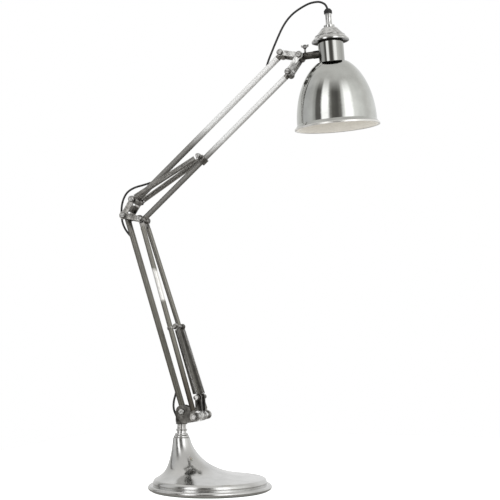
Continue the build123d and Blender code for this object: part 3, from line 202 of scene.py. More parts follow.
# Base: a cast trumpet on a moulded foot, with a collar stack on top of its neck. Both are nickel plated
# and buffed by hand, and the foot's edge is brushed.
def dress(names, material):
    """Gives CAD nodes a material of their own."""
    for name in names:
        nodes[name].data.materials.clear()
        nodes[name].data.materials.append(material)


foot_top = 0.026
foot_edge = 0.012
# Buffed plate mirrors the tent in broad bands, sharp on the neck and broken by a fine hammered ripple on
# the flare. The brushed edge is hazier.
buffed_nickel, tree = new_material("buffed nickel plate on casting")
coords = add(tree, "ShaderNodeTexCoord")
ripple = add(
    tree, "ShaderNodeTexNoise", {"Vector": (coords, "Object")}, {"Scale": grain(5.263), "Detail": 3.0},
)
broad = add(
    tree, "ShaderNodeTexNoise", {"Vector": (coords, "Object")}, {"Scale": grain(45.45), "Detail": 2.0},
)
tone = add(tree, "ShaderNodeValToRGB", {"Fac": (broad, "Fac")}, stops=((0.3, "C0C0BF"), (0.7, "DADAD9")))
gloss = add(
    tree, "ShaderNodeMapRange", {"Value": (ripple, "Fac")},
    {"From Min": 0.35, "From Max": 0.65, "To Min": 0.09, "To Max": 0.2},
)
spot = add(tree, "ShaderNodeSeparateXYZ", {"Vector": (coords, "Object")})
brushed = add(
    tree, "ShaderNodeMapRange", {"Value": (spot, "Z")},
    {"From Min": foot_top, "From Max": foot_edge, "To Min": 0.0, "To Max": 0.06},
)
haze = add(tree, "ShaderNodeMath", {0: (gloss, "Result"), 1: (brushed, "Result")}, operation="ADD")
bump = add(tree, "ShaderNodeBump", {"Height": (ripple, "Fac")}, {"Strength": 0.1, "Distance": 0.0008})
shader = add(
    tree, "ShaderNodeBsdfPrincipled",
    {"Base Color": (tone, "Color"), "Roughness": (haze, "Value"), "Normal": (bump, "Normal")},
    {"Metallic": 1.0},
)
add(tree, "ShaderNodeOutputMaterial", {"Surface": (shader, "BSDF")})
dress(["base_shell", "neck_collar"], buffed_nickel)

# Weight: a heavy iron casting, left as it came out of the sand, that fills the hollow of the foot above
# the bottom plate. Bare cast iron is dark and gritty, with little shine.
sand_iron, tree = new_material("sand-cast iron")
coords = add(tree, "ShaderNodeTexCoord")
grit = add(tree, "ShaderNodeTexNoise", {"Vector": (coords, "Object")}, {"Scale": grain(1.429), "Detail": 4.0})
tone = add(tree, "ShaderNodeValToRGB", {"Fac": (grit, "Fac")}, stops=((0.0, "2B2A29"), (1.0, "4A4745")))
bump = add(tree, "ShaderNodeBump", {"Height": (grit, "Fac")}, {"Strength": 0.5, "Distance": 0.0005})
shader = add(
    tree, "ShaderNodeBsdfPrincipled", {"Base Color": (tone, "Color"), "Normal": (bump, "Normal")},
    {"Metallic": 0.7, "Roughness": 0.6},
)
add(tree, "ShaderNodeOutputMaterial", {"Surface": (shader, "BSDF")})
dress(["base_weight"], sand_iron)

# Bottom plate: a steel disc that closes the foot, held by countersunk screws from below. Disc and screws
# are zinc plated, which gives a pale cold grey with faint crystals in it.
zinc_plate, tree = new_material("zinc-plated steel")
coords = add(tree, "ShaderNodeTexCoord")
spangle = add(tree, "ShaderNodeTexVoronoi", {"Vector": (coords, "Object")}, {"Scale": grain(8.333)})
tone = add(
    tree, "ShaderNodeValToRGB", {"Fac": (spangle, "Distance")}, stops=((0.0, "8D8F92"), (1.0, "B4B6B8")),
)
shader = add(
    tree, "ShaderNodeBsdfPrincipled", {"Base Color": (tone, "Color")}, {"Metallic": 1.0, "Roughness": 0.38},
)
add(tree, "ShaderNodeOutputMaterial", {"Surface": (shader, "BSDF")})
dress(["base_plate", "plate_screws"], zinc_plate)

# Felt: a disc of pressed wool, glued under the bottom plate so that the lamp can't scratch the table.
# It is a soft dark green without shine, with a fuzz of fibres.
wool_felt, tree = new_material("pressed wool felt")
coords = add(tree, "ShaderNodeTexCoord")
fuzz = add(tree, "ShaderNodeTexNoise", {"Vector": (coords, "Object")}, {"Scale": grain(1.111), "Detail": 5.0})
tone = add(tree, "ShaderNodeValToRGB", {"Fac": (fuzz, "Fac")}, stops=((0.0, "1E2A20"), (1.0, "3B4B3E")))
bump = add(tree, "ShaderNodeBump", {"Height": (fuzz, "Fac")}, {"Strength": 0.6, "Distance": 0.0006})
shader = add(
    tree, "ShaderNodeBsdfPrincipled", {"Base Color": (tone, "Color"), "Normal": (bump, "Normal")},
    {"Roughness": 0.95, "Sheen Weight": 0.4},
)
add(tree, "ShaderNodeOutputMaterial", {"Surface": (shader, "BSDF")})
dress(["base_felt"], wool_felt)

# Bush in the foot and gland on the cap: moulded black rubber, pushed into their holes to guard a cord
# from the metal's edge. Rubber is nearly black, with a dull sheen and a faintly uneven skin.
black_rubber, tree = new_material("moulded black rubber")
coords = add(tree, "ShaderNodeTexCoord")
skin = add(tree, "ShaderNodeTexNoise", {"Vector": (coords, "Object")}, {"Scale": grain(2.0), "Detail": 3.0})
tone = add(tree, "ShaderNodeValToRGB", {"Fac": (skin, "Fac")}, stops=((0.0, "121212"), (1.0, "262626")))
bump = add(tree, "ShaderNodeBump", {"Height": (skin, "Fac")}, {"Strength": 0.1, "Distance": 0.0003})
shader = add(
    tree, "ShaderNodeBsdfPrincipled", {"Base Color": (tone, "Color"), "Normal": (bump, "Normal")},
    {"Roughness": 0.5},
)
add(tree, "ShaderNodeOutputMaterial", {"Surface": (shader, "BSDF")})
dress(["cord_outlet_bush", "cord_gland"], black_rubber)


# Swivel bush: turned from brass and pressed into the neck, where the spindle turns in it. Turned brass
# is a warm yellow with fine rings from the tool. It is hidden once the lamp is together.
def ring_spacing(millimetres):
    """Scale of a wave pattern with rings this far apart: at scale 1 they are a tenth of pi apart."""
    return 1000 * math.pi / 10 / millimetres


turned_brass, tree = new_material("turned brass")
coords = add(tree, "ShaderNodeTexCoord")
lathe = add(
    tree, "ShaderNodeTexWave", {"Vector": (coords, "Object")},
    {"Scale": ring_spacing(0.5236), "Distortion": 0.5}, bands_direction="Z",
)
gloss = add(tree, "ShaderNodeMapRange", {"Value": (lathe, "Fac")}, {"To Min": 0.22, "To Max": 0.36})
shader = add(
    tree, "ShaderNodeBsdfPrincipled", {"Roughness": (gloss, "Result")},
    {"Metallic": 1.0, "Base Color": linear("C79A4B")},
)
add(tree, "ShaderNodeOutputMaterial", {"Surface": (shader, "BSDF")})
dress(["swivel_bush"], turned_brass)


# Turned pieces of the turret: the spindle with its nut, the link pair's long axle with its sleeves, and
# the pin that the springs pull on. All are steel, turned and nickel plated.
def turned_metal(name, dull, bright):
    """Smooth plate whose tone and gloss drift with finger marks."""
    material, tree = new_material(name)
    coords = add(tree, "ShaderNodeTexCoord")
    smudge = add(
        tree, "ShaderNodeTexNoise", {"Vector": (coords, "Object")}, {"Scale": grain(6.25), "Detail": 4.0},
    )
    tone = add(tree, "ShaderNodeValToRGB", {"Fac": (smudge, "Fac")}, stops=((0.35, dull), (0.65, bright)))
    gloss = add(
        tree, "ShaderNodeMapRange", {"Value": (smudge, "Fac")},
        {"From Min": 0.3, "From Max": 0.7, "To Min": 0.18, "To Max": 0.32},
    )
    shader = add(
        tree, "ShaderNodeBsdfPrincipled", {"Base Color": (tone, "Color"), "Roughness": (gloss, "Result")},
        {"Metallic": 1.0},
    )
    add(tree, "ShaderNodeOutputMaterial", {"Surface": (shader, "BSDF")})
    return material


# The plate is a little dull where it is handled; the sleeves get a paler copy, a painted highlight.
turned_nickel = turned_metal("nickel-plated turned steel", "989795", "DCDBD9")
dress(["turret_spindle", "spindle_nut", "link_axle", "spring_anchor_pin"], turned_nickel)
highlighted_nickel = turned_metal("turned nickel painted bright as a highlight", "C4C4C2", "F8F8F7")
dress(["axle_sleeves"], highlighted_nickel)


# Castings: the yoke, the elbow and head brackets, the knuckle with its rod, and the ends, eyes and clamps
# of the tubes. All are cast in sand, filed where they meet, plated with nickel and antiqued.
def cast_metal(name, hollow, face, worn=None):
    """Pitted plate, dark in its hollows and paler on its faces, with a painted highlight spot if given."""
    material, tree = new_material(name)
    coords = add(tree, "ShaderNodeTexCoord")
    pits = add(
        tree, "ShaderNodeTexNoise", {"Vector": (coords, "Object")}, {"Scale": grain(2.381), "Detail": 5.0},
    )
    patina = add(
        tree, "ShaderNodeTexNoise", {"Vector": (coords, "Object")}, {"Scale": grain(11.11), "Detail": 3.0},
    )
    tone = add(tree, "ShaderNodeValToRGB", {"Fac": (patina, "Fac")}, stops=((0.32, hollow), (0.68, face)))
    colour = (tone, "Color")
    if worn:
        # A painted highlight: the colour turns pale within reach of a centre, seen along Y.
        centre, reach, core, highlight_colour = worn
        side = add(
            tree, "ShaderNodeVectorMath", {0: (coords, "Object")}, {1: (1, 0, 1)}, operation="MULTIPLY",
        )
        gap = add(tree, "ShaderNodeVectorMath", {0: (side, "Vector")}, {1: centre}, operation="DISTANCE")
        highlight_share = add(
            tree, "ShaderNodeMapRange", {"Value": (gap, "Value")},
            {"From Min": reach, "From Max": core, "To Min": 0.0, "To Max": 1.0},
        )
        highlighted = add(
            tree, "ShaderNodeMix", {"Factor": (highlight_share, "Result"), "A": colour}, {"B": linear(highlight_colour)},
            data_type="RGBA",
        )
        colour = (highlighted, "Result")
    gloss = add(
        tree, "ShaderNodeMapRange", {"Value": (pits, "Fac")},
        {"From Min": 0.3, "From Max": 0.7, "To Min": 0.26, "To Max": 0.46},
    )
    bump = add(tree, "ShaderNodeBump", {"Height": (pits, "Fac")}, {"Strength": 0.45, "Distance": 0.0006})
    shader = add(
        tree, "ShaderNodeBsdfPrincipled",
        {"Base Color": colour, "Roughness": (gloss, "Result"), "Normal": (bump, "Normal")},
        {"Metallic": 1.0},
    )
    add(tree, "ShaderNodeOutputMaterial", {"Surface": (shader, "BSDF")})
    return material


# Antiqued plate is a mottled warm grey.
antique_cast = cast_metal("antique nickel on sand casting", "53514E", "B4B2AE")
dress(
    [
        "elbow_bracket", "lower_tube_foot", "lower_tube_head", "upper_tube_foot", "upper_tube_head",
        "link_foot_eyes", "link_head_eyes", "upper_link_foot", "upper_link_head", "spring_clamp",
        "spring_cross_bar",
    ],
    antique_cast,
)
# The head bracket gets a lighter copy of the cast finish as painted light; the knuckle and rod stay dark.
lit_cast = cast_metal("nickel on sand casting painted lighter", "82817F", "F0F0EE")
dress(["head_bracket"], lit_cast)
dark_hollow = "3A3835"
dark_face = "7C7A76"
dark_cast = cast_metal("darkened nickel on sand casting", dark_hollow, dark_face)
dress(["head_knuckle", "head_rod"], dark_cast)
# The yoke is as dark, with a painted highlight spot round the links' axle.
pivot = {joint["name"]: Vector(joint["pos_m"]) for joint in frame["joints"]}
highlight_reach = 0.0115
highlight_core = highlight_reach * 0.8
yoke_cast = cast_metal(
    "darkened nickel with a painted highlight at the axle", dark_hollow, dark_face,
    (pivot["lower_link_pivot"], highlight_reach, highlight_core, "FAFAF9"),
)
dress(["turret_yoke"], yoke_cast)

# Bolts, nuts and the thumb screw: nickel-plated steel, done up through the castings. The plate is worn by
# spanners and fingers, so bright patches stand between dark ones.
worn_plate, tree = new_material("worn nickel-plated fasteners")
coords = add(tree, "ShaderNodeTexCoord")
wear = add(tree, "ShaderNodeTexNoise", {"Vector": (coords, "Object")}, {"Scale": grain(3.333), "Detail": 4.0})
tone = add(tree, "ShaderNodeValToRGB", {"Fac": (wear, "Fac")}, stops=((0.35, "5C5B59"), (0.62, "ADACAA")))
shader = add(
    tree, "ShaderNodeBsdfPrincipled", {"Base Color": (tone, "Color")}, {"Metallic": 1.0, "Roughness": 0.26},
)
add(tree, "ShaderNodeOutputMaterial", {"Surface": (shader, "BSDF")})
dress(
    [
        "yoke_bolt", "yoke_nuts", "elbow_bolts", "elbow_nuts", "head_bolts", "head_nuts", "clamp_bolt",
        "thumb_screw",
    ],
    worn_plate,
)


# Arm tubes: drawn steel with a satin nickel plate, pressed into the barrels and eyes at their ends. The
# upper pair carries the head, and the lower tube and link pair carry the elbow.
def tube_metal(name, direction, low, high, stops, roughness):
    """Satin plate toned along a direction between two distances, ragged-edged: tarnish and painted light."""
    material, tree = new_material(name)
    ragged_width = 0.02
    coords = add(tree, "ShaderNodeTexCoord")
    along = add(
        tree, "ShaderNodeVectorMath", {0: (coords, "Object")}, {1: direction}, operation="DOT_PRODUCT",
    )
    cloud = add(
        tree, "ShaderNodeTexNoise", {"Vector": (coords, "Object")}, {"Scale": grain(22.22), "Detail": 2.0},
    )
    ragged = add(
        tree, "ShaderNodeMath", {0: (cloud, "Fac"), 2: (along, "Value")}, {1: ragged_width},
        operation="MULTIPLY_ADD",
    )
    share = add(tree, "ShaderNodeMapRange", {"Value": (ragged, "Value")}, {"From Min": low, "From Max": high})
    tone = add(tree, "ShaderNodeValToRGB", {"Fac": (share, "Result")}, stops=stops)
    shader = add(
        tree, "ShaderNodeBsdfPrincipled", {"Base Color": (tone, "Color")},
        {"Metallic": 1.0, "Roughness": roughness},
    )
    add(tree, "ShaderNodeOutputMaterial", {"Surface": (shader, "BSDF")})
    return material


# On the lower arm the plate has tarnished to a warm dark grey with a soft shine.
lower_axis = (0, 0, 1)
lower_start = 0.15
lower_end = 0.55
lower_roughness = 0.42
lower_satin = tube_metal(
    "tarnished nickel on drawn tube", lower_axis, lower_start, lower_end,
    ((0.0, "7A7870"), (1.0, "8A8882")), lower_roughness,
)
dress(["lower_tube", "link_rear_tube"], lower_satin)
# The front link is darker at its foot, and a stretch of it is painted white as a painted highlight.
link_highlight_satin = tube_metal(
    "tarnished nickel with a painted highlight band", lower_axis, lower_start, lower_end,
    (
        (0.0, "46423C"), (0.15, "57534C"), (0.34, "7A7870"), (0.56, "807E77"), (0.58, "F2F1EE"),
        (0.71, "F2F1EE"), (0.73, "83817A"), (1.0, "8A8882"),
    ),
    lower_roughness,
)
dress(["link_front_tube"], link_highlight_satin)
# The upper tubes are grey near the elbow and painted near white below the head, a painted reflection.
# Their plate is rough, with a frosted sheen.
upper_axis = (pivot["head_carrier_pivot"] - pivot["upper_arm_pivot"]).normalized()
upper_start = upper_axis.dot(pivot["upper_arm_pivot"])
upper_length = 0.416
upper_roughness = 0.62
upper_lit_satin = tube_metal(
    "nickel on drawn tube painted bright below the head", upper_axis, upper_start, upper_start + upper_length,
    ((0.0, "949390"), (0.40, "9A9996"), (0.54, "F6F7F7"), (1.0, "FDFDFD")), upper_roughness,
)
dress(["upper_tube", "upper_link_tube"], upper_lit_satin)

# Shade: a bell and the drum above it, spun from sheet metal, nickel plated and polished. The drum sits
# on the end of the rod, and the shade is rolled a few degrees round it at rest.
head_along = next(Vector(joint["axis"]) for joint in frame["joints"] if joint["name"] == "head_roll")
head_roll_rest = math.radians(6.9)
rod_reach = 0.062
level_up = Vector((-head_along.z, 0, head_along.x))
shade_up = level_up * math.cos(head_roll_rest) + Vector((0, -1, 0)) * math.sin(head_roll_rest)
shade_place = Matrix((head_along, shade_up.cross(head_along), shade_up)).transposed().to_4x4()
shade_place.translation = pivot["head_roll"] + head_along * rod_reach
bell_bottom = -0.147
drum_bottom = -0.0216
lip_top = 0.0042
lip_full = 0.0030
lip_haze = 0.25
drum_edge = 0.0005
lip_level = shade_up.dot(shade_place.translation) + bell_bottom
drum_level = shade_up.dot(shade_place.translation) + drum_bottom
# Polished plate is a slightly hazy mirror with faint rings from spinning. The rolled lip is only brushed,
# and paler, and the drum has dulled a little.
mirror_nickel, tree = new_material("mirror-polished spun nickel")
coords = add(tree, "ShaderNodeTexCoord")
rings = add(
    tree, "ShaderNodeTexWave", {"Vector": (coords, "Object")},
    {"Scale": ring_spacing(1.2083), "Distortion": 1.5, "Detail": 2.0}, bands_direction="Z",
)
haze = add(tree, "ShaderNodeTexNoise", {"Vector": (coords, "Object")}, {"Scale": grain(35.71), "Detail": 3.0})
tone = add(tree, "ShaderNodeValToRGB", {"Fac": (haze, "Fac")}, stops=((0.3, "B7B8B5"), (0.7, "CED0CD")))
gloss = add(
    tree, "ShaderNodeMapRange", {"Value": (haze, "Fac")},
    {"From Min": 0.3, "From Max": 0.7, "To Min": 0.04, "To Max": 0.09},
)
drop = add(tree, "ShaderNodeVectorMath", {0: (coords, "Object")}, {1: shade_up}, operation="DOT_PRODUCT")
lip = add(
    tree, "ShaderNodeMapRange", {"Value": (drop, "Value")},
    {"From Min": lip_level + lip_top, "From Max": lip_level + lip_full, "To Min": 0.0, "To Max": 1.0},
)
drum = add(
    tree, "ShaderNodeMapRange", {"Value": (drop, "Value")},
    {"From Min": drum_level - drum_edge, "From Max": drum_level, "To Min": 0.0, "To Max": 1.0},
)
duller = add(
    tree, "ShaderNodeMix", {"Factor": (drum, "Result"), "A": (tone, "Color")},
    {"B": linear("ACADAA")}, data_type="RGBA",
)
plated = add(
    tree, "ShaderNodeMix", {"Factor": (lip, "Result"), "A": (duller, "Result")},
    {"B": linear("F2F1EE")}, data_type="RGBA",
)
brushed = add(
    tree, "ShaderNodeMath", {0: (lip, "Result"), 2: (gloss, "Result")}, {1: lip_haze},
    operation="MULTIPLY_ADD",
)
bump = add(tree, "ShaderNodeBump", {"Height": (rings, "Fac")}, {"Strength": 0.02, "Distance": 0.0002})
shader = add(
    tree, "ShaderNodeBsdfPrincipled",
    {"Base Color": (plated, "Result"), "Roughness": (brushed, "Value"), "Normal": (bump, "Normal")},
    {"Metallic": 1.0},
)
add(tree, "ShaderNodeOutputMaterial", {"Surface": (shader, "BSDF")})
dress(["shade_dome", "shade_neck"], mirror_nickel)

# Cap and ferrule: spun and turned like the bell, planished with a small hammer and plated. The hammer
# leaves a mottled shine, and the underside of the brim is painted dark as painted shade.
planished, tree = new_material("planished nickel")
coords = add(tree, "ShaderNodeTexCoord")
dents = add(
    tree, "ShaderNodeTexNoise", {"Vector": (coords, "Object")}, {"Scale": grain(6.667), "Detail": 2.0},
)
facing = add(tree, "ShaderNodeSeparateXYZ", {"Vector": (coords, "Normal")})
# Painted shade: faces turned down, under the brim, are mixed towards near black.
under = add(
    tree, "ShaderNodeMapRange", {"Value": (facing, "Z")},
    {"From Min": -0.1, "From Max": -0.45, "To Min": 0.0, "To Max": 1.0},
)
tone = add(tree, "ShaderNodeValToRGB", {"Fac": (dents, "Fac")}, stops=((0.36, "B2B2B0"), (0.62, "E2E2E1")))
shaded = add(
    tree, "ShaderNodeMix", {"Factor": (under, "Result"), "A": (tone, "Color")},
    {"B": linear("2A2927")}, data_type="RGBA",
)
bump = add(tree, "ShaderNodeBump", {"Height": (dents, "Fac")}, {"Strength": 0.11, "Distance": 0.0012})
shader = add(
    tree, "ShaderNodeBsdfPrincipled", {"Base Color": (shaded, "Result"), "Normal": (bump, "Normal")},
    {"Metallic": 1.0, "Roughness": 0.14},
)
add(tree, "ShaderNodeOutputMaterial", {"Surface": (shader, "BSDF")})
dress(["shade_cap", "cap_ferrule"], planished)

# Lining of the bell: cream stove enamel on its inside, a thin skin from the rolled lip up to the
# neck. It is extruded ring by ring up the bell's inner curve and given its thickness.
lip_radius = 0.0800
lip_gap = 0.0008
bell_curve_level = -0.1375
skin_radius = 0.0762
skin_rise = 0.1255
skin_sweep_degrees = 61
skin_steps = 12
skin_sides = 128
skin_thickness = 0.0003
skin_crease = math.radians(40)
skin_rings = [(lip_radius, bell_bottom + lip_gap)]
for step in range(skin_steps + 1):
    angle = math.radians(skin_sweep_degrees * step / skin_steps)
    skin_rings.append((skin_radius * math.cos(angle), bell_curve_level + skin_rise * math.sin(angle)))
bpy.ops.object.select_all(action="DESELECT")
bpy.ops.mesh.primitive_circle_add(vertices=skin_sides, radius=lip_radius, location=(0, 0, 0))
lining = bpy.context.object
lining.name = "bell_lining"
bpy.ops.object.mode_set(mode="EDIT")
bpy.ops.mesh.select_all(action="SELECT")
bpy.ops.transform.translate(value=(0, 0, bell_bottom + lip_gap))
for (radius, level), (next_radius, next_level) in zip(skin_rings, skin_rings[1:]):
    bpy.ops.mesh.extrude_region_move(TRANSFORM_OT_translate={"value": (0, 0, next_level - level)})
    share = next_radius / radius
    bpy.ops.transform.resize(value=(share, share, 1), center_override=(0, 0, next_level))
bpy.ops.mesh.select_all(action="SELECT")
bpy.ops.mesh.normals_make_consistent(inside=True)
bpy.ops.object.mode_set(mode="OBJECT")
skin = lining.modifiers.new("skin", "SOLIDIFY")
skin.thickness = skin_thickness
bpy.ops.object.modifier_apply(modifier=skin.name)
bpy.ops.object.shade_smooth_by_angle(angle=skin_crease)
lining.data.transform(shade_place)
# Stove enamel is a warm white with a soft gloss and a faint orange peel.
cream_enamel, tree = new_material("cream stove enamel")
coords = add(tree, "ShaderNodeTexCoord")
orange_peel = add(
    tree, "ShaderNodeTexNoise", {"Vector": (coords, "Object")}, {"Scale": grain(2.381), "Detail": 2.0},
)
tone = add(
    tree, "ShaderNodeValToRGB", {"Fac": (orange_peel, "Fac")}, stops=((0.0, "E6E3DB"), (1.0, "F3F0EA")),
)
bump = add(tree, "ShaderNodeBump", {"Height": (orange_peel, "Fac")}, {"Strength": 0.05, "Distance": 0.0003})
shader = add(
    tree, "ShaderNodeBsdfPrincipled", {"Base Color": (tone, "Color"), "Normal": (bump, "Normal")},
    {"Roughness": 0.32},
)
add(tree, "ShaderNodeOutputMaterial", {"Surface": (shader, "BSDF")})
lining.data.materials.append(cream_enamel)
strip_targets.objects.link(lining)
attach(lining, "head")

# Shadow ring between the drum and the bell: a thin ring with the castings' dark finish, put at the
# drum's foot as a painted shadow. Its round section is spun once about the bell's axis.
shadow_ring_radius = 0.0252
shadow_ring_level = -0.0212
shadow_ring_section = 0.0009
shadow_ring_sides = 12
shadow_ring_steps = 96
bpy.ops.object.select_all(action="DESELECT")
bpy.ops.mesh.primitive_circle_add(vertices=shadow_ring_sides, radius=shadow_ring_section, location=(0, 0, 0))
shadow_ring = bpy.context.object
shadow_ring.name = "neck_shadow_ring"
bpy.ops.object.mode_set(mode="EDIT")
bpy.ops.mesh.select_all(action="SELECT")
bpy.ops.transform.rotate(value=math.pi / 2, orient_axis="X", center_override=(0, 0, 0))
bpy.ops.transform.translate(value=(shadow_ring_radius, 0, shadow_ring_level))
bpy.ops.mesh.spin(steps=shadow_ring_steps, angle=2 * math.pi, center=(0, 0, 0), axis=(0, 0, 1))
bpy.ops.mesh.select_all(action="SELECT")
bpy.ops.mesh.remove_doubles()
bpy.ops.mesh.normals_make_consistent(inside=False)
bpy.ops.object.mode_set(mode="OBJECT")
bpy.ops.object.shade_smooth()
shadow_ring.data.transform(shade_place)
shadow_ring.data.materials.append(dark_cast)
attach(shadow_ring, "head")

# Lampholder and the clamp ring on its skirt: moulded thermoset, with the holder hung from the drum by its
# nipple. The plastic is black and smooth, and its gloss drifts where it flowed in the mould.
moulded_black, tree = new_material("black moulded thermoset")
coords = add(tree, "ShaderNodeTexCoord")
flow = add(tree, "ShaderNodeTexNoise", {"Vector": (coords, "Object")}, {"Scale": grain(12.5), "Detail": 2.0})
gloss = add(tree, "ShaderNodeMapRange", {"Value": (flow, "Fac")}, {"To Min": 0.25, "To Max": 0.4})
shader = add(
    tree, "ShaderNodeBsdfPrincipled", {"Roughness": (gloss, "Result")}, {"Base Color": linear("1A1918")},
)
add(tree, "ShaderNodeOutputMaterial", {"Surface": (shader, "BSDF")})
dress(["lampholder", "shade_ring"], moulded_black)

# Bulb: blown opal glass, unlit, screwed up into the lampholder. Opal glass is milky and smooth, and light
# goes a little way into it.
opal_glass, tree = new_material("opal glass")
coords = add(tree, "ShaderNodeTexCoord")
cloud = add(tree, "ShaderNodeTexNoise", {"Vector": (coords, "Object")}, {"Scale": grain(16.67)})
tone = add(tree, "ShaderNodeValToRGB", {"Fac": (cloud, "Fac")}, stops=((0.0, "EDEAE2"), (1.0, "F8F6F0")))
shader = add(
    tree, "ShaderNodeBsdfPrincipled", {"Base Color": (tone, "Color")},
    {"Roughness": 0.12, "Subsurface Weight": 0.3},
)
add(tree, "ShaderNodeOutputMaterial", {"Surface": (shader, "BSDF")})
dress(["bulb"], opal_glass)


# Springs: close-wound steel wire with a full loop round a pin at each end, hooked on once the arms are
# up. Each is one bent wire, drawn between its two pins at rest.
def wire(name, route, radius, smooth, sides):
    """A round wire along a NURBS spline, as a mesh, and the points that its middle follows."""
    end_crease = math.radians(50)
    curve = bpy.data.curves.new(name, "CURVE")
    curve.dimensions = "3D"
    curve.resolution_u = smooth
    spline = curve.splines.new("NURBS")
    spline.points.add(len(route) - 1)
    for point, place in zip(spline.points, route):
        point.co = (*place, 1.0)
    spline.order_u = 3
    spline.use_endpoint_u = True
    obj = bpy.data.objects.new(name, curve)
    bpy.context.scene.collection.objects.link(obj)
    line = bpy.data.meshes.new_from_object(obj)
    path = [vertex.co.copy() for vertex in line.vertices]
    bpy.data.meshes.remove(line)
    curve.bevel_depth = radius
    curve.bevel_resolution = sides // 2 - 2
    curve.use_fill_caps = True
    bpy.ops.object.select_all(action="DESELECT")
    bpy.context.view_layer.objects.active = obj
    obj.select_set(True)
    bpy.ops.object.convert(target="MESH")
    bpy.ops.object.shade_smooth_by_angle(angle=end_crease)
    return bpy.context.object, path


def spring_route(start, end):
    """Points of a spring's wire: a loop round the first pin, the coil, and a loop round the second pin."""
    coil_radius = 0.0047
    pitch = 0.0021
    loop_steps = 16
    loop_opening = 2
    turn_steps = 12
    neck_pitches = 1.5
    shoulder = 0.8
    along = (end - start).normalized()
    pin = Vector((0, 1, 0))
    across = pin.cross(along).normalized()
    aside = along.cross(across)
    neck = coil_radius + neck_pitches * pitch
    turns = round(((end - start).length - 2 * neck) / pitch)
    route = []
    for step in range(loop_opening, loop_steps + 1):
        angle = 2 * math.pi * step / loop_steps
        route.append(start + (along * math.cos(angle) + across * math.sin(angle)) * coil_radius)
    route.append(start + along * (coil_radius + pitch / 2) + across * coil_radius * shoulder)
    for step in range(turns * turn_steps + 1):
        angle = 2 * math.pi * step / turn_steps
        level = neck + pitch * step / turn_steps
        ray = across * math.cos(angle) + aside * math.sin(angle)
        route.append(start + along * level + ray * coil_radius)
    route.append(end - along * (coil_radius + pitch / 2) + across * coil_radius * shoulder)
    for step in range(loop_steps + 1 - loop_opening):
        angle = 2 * math.pi * step / loop_steps
        route.append(end - (along * math.cos(angle) + across * math.sin(angle)) * coil_radius)
    return route


def spring_steel(name, oiled, dry):
    """Drawn wire whose tone drifts between that of its oiled and of its dry stretches."""
    material, tree = new_material(name)
    coords = add(tree, "ShaderNodeTexCoord")
    oil = add(
        tree, "ShaderNodeTexNoise", {"Vector": (coords, "Object")}, {"Scale": grain(8.333), "Detail": 3.0},
    )
    tone = add(tree, "ShaderNodeValToRGB", {"Fac": (oil, "Fac")}, stops=((0.0, oiled), (1.0, dry)))
    shader = add(
        tree, "ShaderNodeBsdfPrincipled", {"Base Color": (tone, "Color")},
        {"Metallic": 1.0, "Roughness": 0.34},
    )
    add(tree, "ShaderNodeOutputMaterial", {"Surface": (shader, "BSDF")})
    return material


# Spring wire has a soft steely shine on each turn. The lower pair is darker, the upper pair paler.
darker_wire = spring_steel("darker spring steel wire", "51504C", "ACAAA5")
paler_wire = spring_steel("paler spring steel wire", "706F6B", "D2D0CC")
spring_wire_radius = 0.00095
spring_smooth = 2
spring_sides = 8
anchor = Vector((0.0380, 0, 0.1767))
cross_bar = Vector((-0.0070, 0, 0.3145))
clamp_pin = Vector((0.0359, 0, 0.6544))
elbow_pin = pivot["upper_arm_pivot"]
for name, finish, fixed, held, fixed_spread, held_spread, fixed_body, held_body in (
    ("lower_spring_front", darker_wire, anchor, cross_bar, -0.020, -0.015, "turret", "lower_link"),
    ("lower_spring_rear", darker_wire, anchor, cross_bar, 0.020, 0.015, "turret", "lower_link"),
    ("upper_spring_front", paler_wire, elbow_pin, clamp_pin, -0.023, -0.012, "elbow", "upper_link"),
    ("upper_spring_rear", paler_wire, elbow_pin, clamp_pin, 0.023, 0.012, "elbow", "upper_link"),
):
    start = fixed + Vector((0, fixed_spread, 0))
    end = held + Vector((0, held_spread, 0))
    route = spring_route(start, end)
    coil, _ = wire(f"{name}_coil", route, spring_wire_radius, spring_smooth, spring_sides)
    coil.data.materials.append(finish)
    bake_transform(coil)
    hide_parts(name)
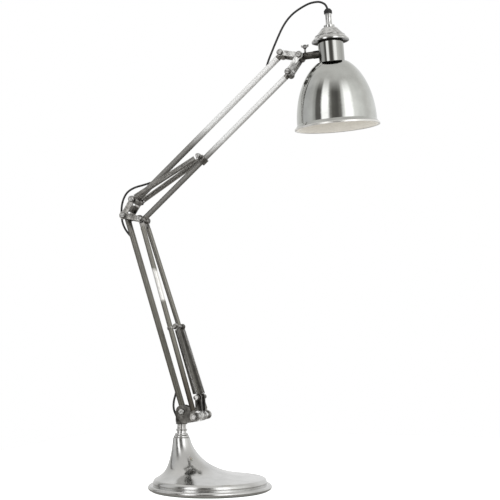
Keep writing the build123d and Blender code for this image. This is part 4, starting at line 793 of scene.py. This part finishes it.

# Cord: round flex in black PVC that comes out of the tubes in three open loops, at the turret, round the
# elbow and over the head. Each stretch is drawn as it lies at rest, between the two bodies that it joins.
cord_diameter = 0.0042
cord_smooth = 14
cord_sides = 14
elbow_split = (-0.1345, 0, 0.5464)
head_low_split = (0.1980, 0, 0.8882)
head_high_split = (0.2452, -0.0018, 0.9421)
turret_route = (
    (-0.0035, 0, 0.1255), (-0.0152, 0, 0.1460), (-0.0178, 0, 0.1578), (-0.0166, 0, 0.1702),
    (-0.0128, 0, 0.1818), (-0.0108, 0, 0.1947),
)
elbow_low_route = (
    (-0.1070, 0, 0.4925), (-0.1205, 0, 0.5059), (-0.1296, 0, 0.5206), (-0.1339, 0, 0.5347), elbow_split,
)
elbow_high_route = (
    elbow_split, (-0.1350, 0, 0.5581), (-0.1316, 0, 0.5749), (-0.1229, 0, 0.5908), (-0.1055, 0, 0.5998),
    (-0.0840, 0, 0.6038), (-0.0594, 0, 0.6106),
)
head_low_route = (
    (0.1728, 0, 0.8220), (0.1760, 0, 0.8366), (0.1829, 0, 0.8534), (0.1910, 0, 0.8728), head_low_split,
)
head_middle_route = (
    head_low_split, (0.2050, 0, 0.9036), (0.2166, 0, 0.9216), (0.2320, 0, 0.9362), head_high_split,
)
head_high_route = (
    head_high_split, (0.2584, -0.0035, 0.9481), (0.2724, -0.0060, 0.9498), (0.2869, -0.0085, 0.9484),
    (0.3007, -0.0110, 0.9376), (0.3015, -0.0091, 0.9221),
)
# PVC flex is a greyish black with a soft shine along its top.
black_flex, tree = new_material("black flexible cord")
coords = add(tree, "ShaderNodeTexCoord")
skin = add(tree, "ShaderNodeTexNoise", {"Vector": (coords, "Object")}, {"Scale": grain(2.857), "Detail": 3.0})
tone = add(tree, "ShaderNodeValToRGB", {"Fac": (skin, "Fac")}, stops=((0.0, "212121"), (1.0, "414141")))
shader = add(tree, "ShaderNodeBsdfPrincipled", {"Base Color": (tone, "Color")}, {"Roughness": 0.42})
add(tree, "ShaderNodeOutputMaterial", {"Surface": (shader, "BSDF")})
# Each row ends with two points of the route and the bodies on either side.
for name, route, first, last, body_a, body_b in (
    ("cord_base_loop", turret_route, 1, 4, "turret", "lower_arm"),
    ("cord_elbow_lower", elbow_low_route, 1, 4, "lower_arm", "elbow"),
    ("cord_elbow_upper", elbow_high_route, 0, 5, "elbow", "upper_arm"),
    ("cord_head_lower", head_low_route, 1, 4, "upper_arm", "head_carrier"),
    ("cord_head_middle", head_middle_route, 0, 4, "head_carrier", "knuckle"),
    ("cord_head_upper", head_high_route, 0, 4, "knuckle", "head"),
):
    flex, path = wire(f"{name}_flex", route, cord_diameter / 2, cord_smooth, cord_sides)
    flex.data.materials.append(black_flex)
    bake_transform(flex)
    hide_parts(name)
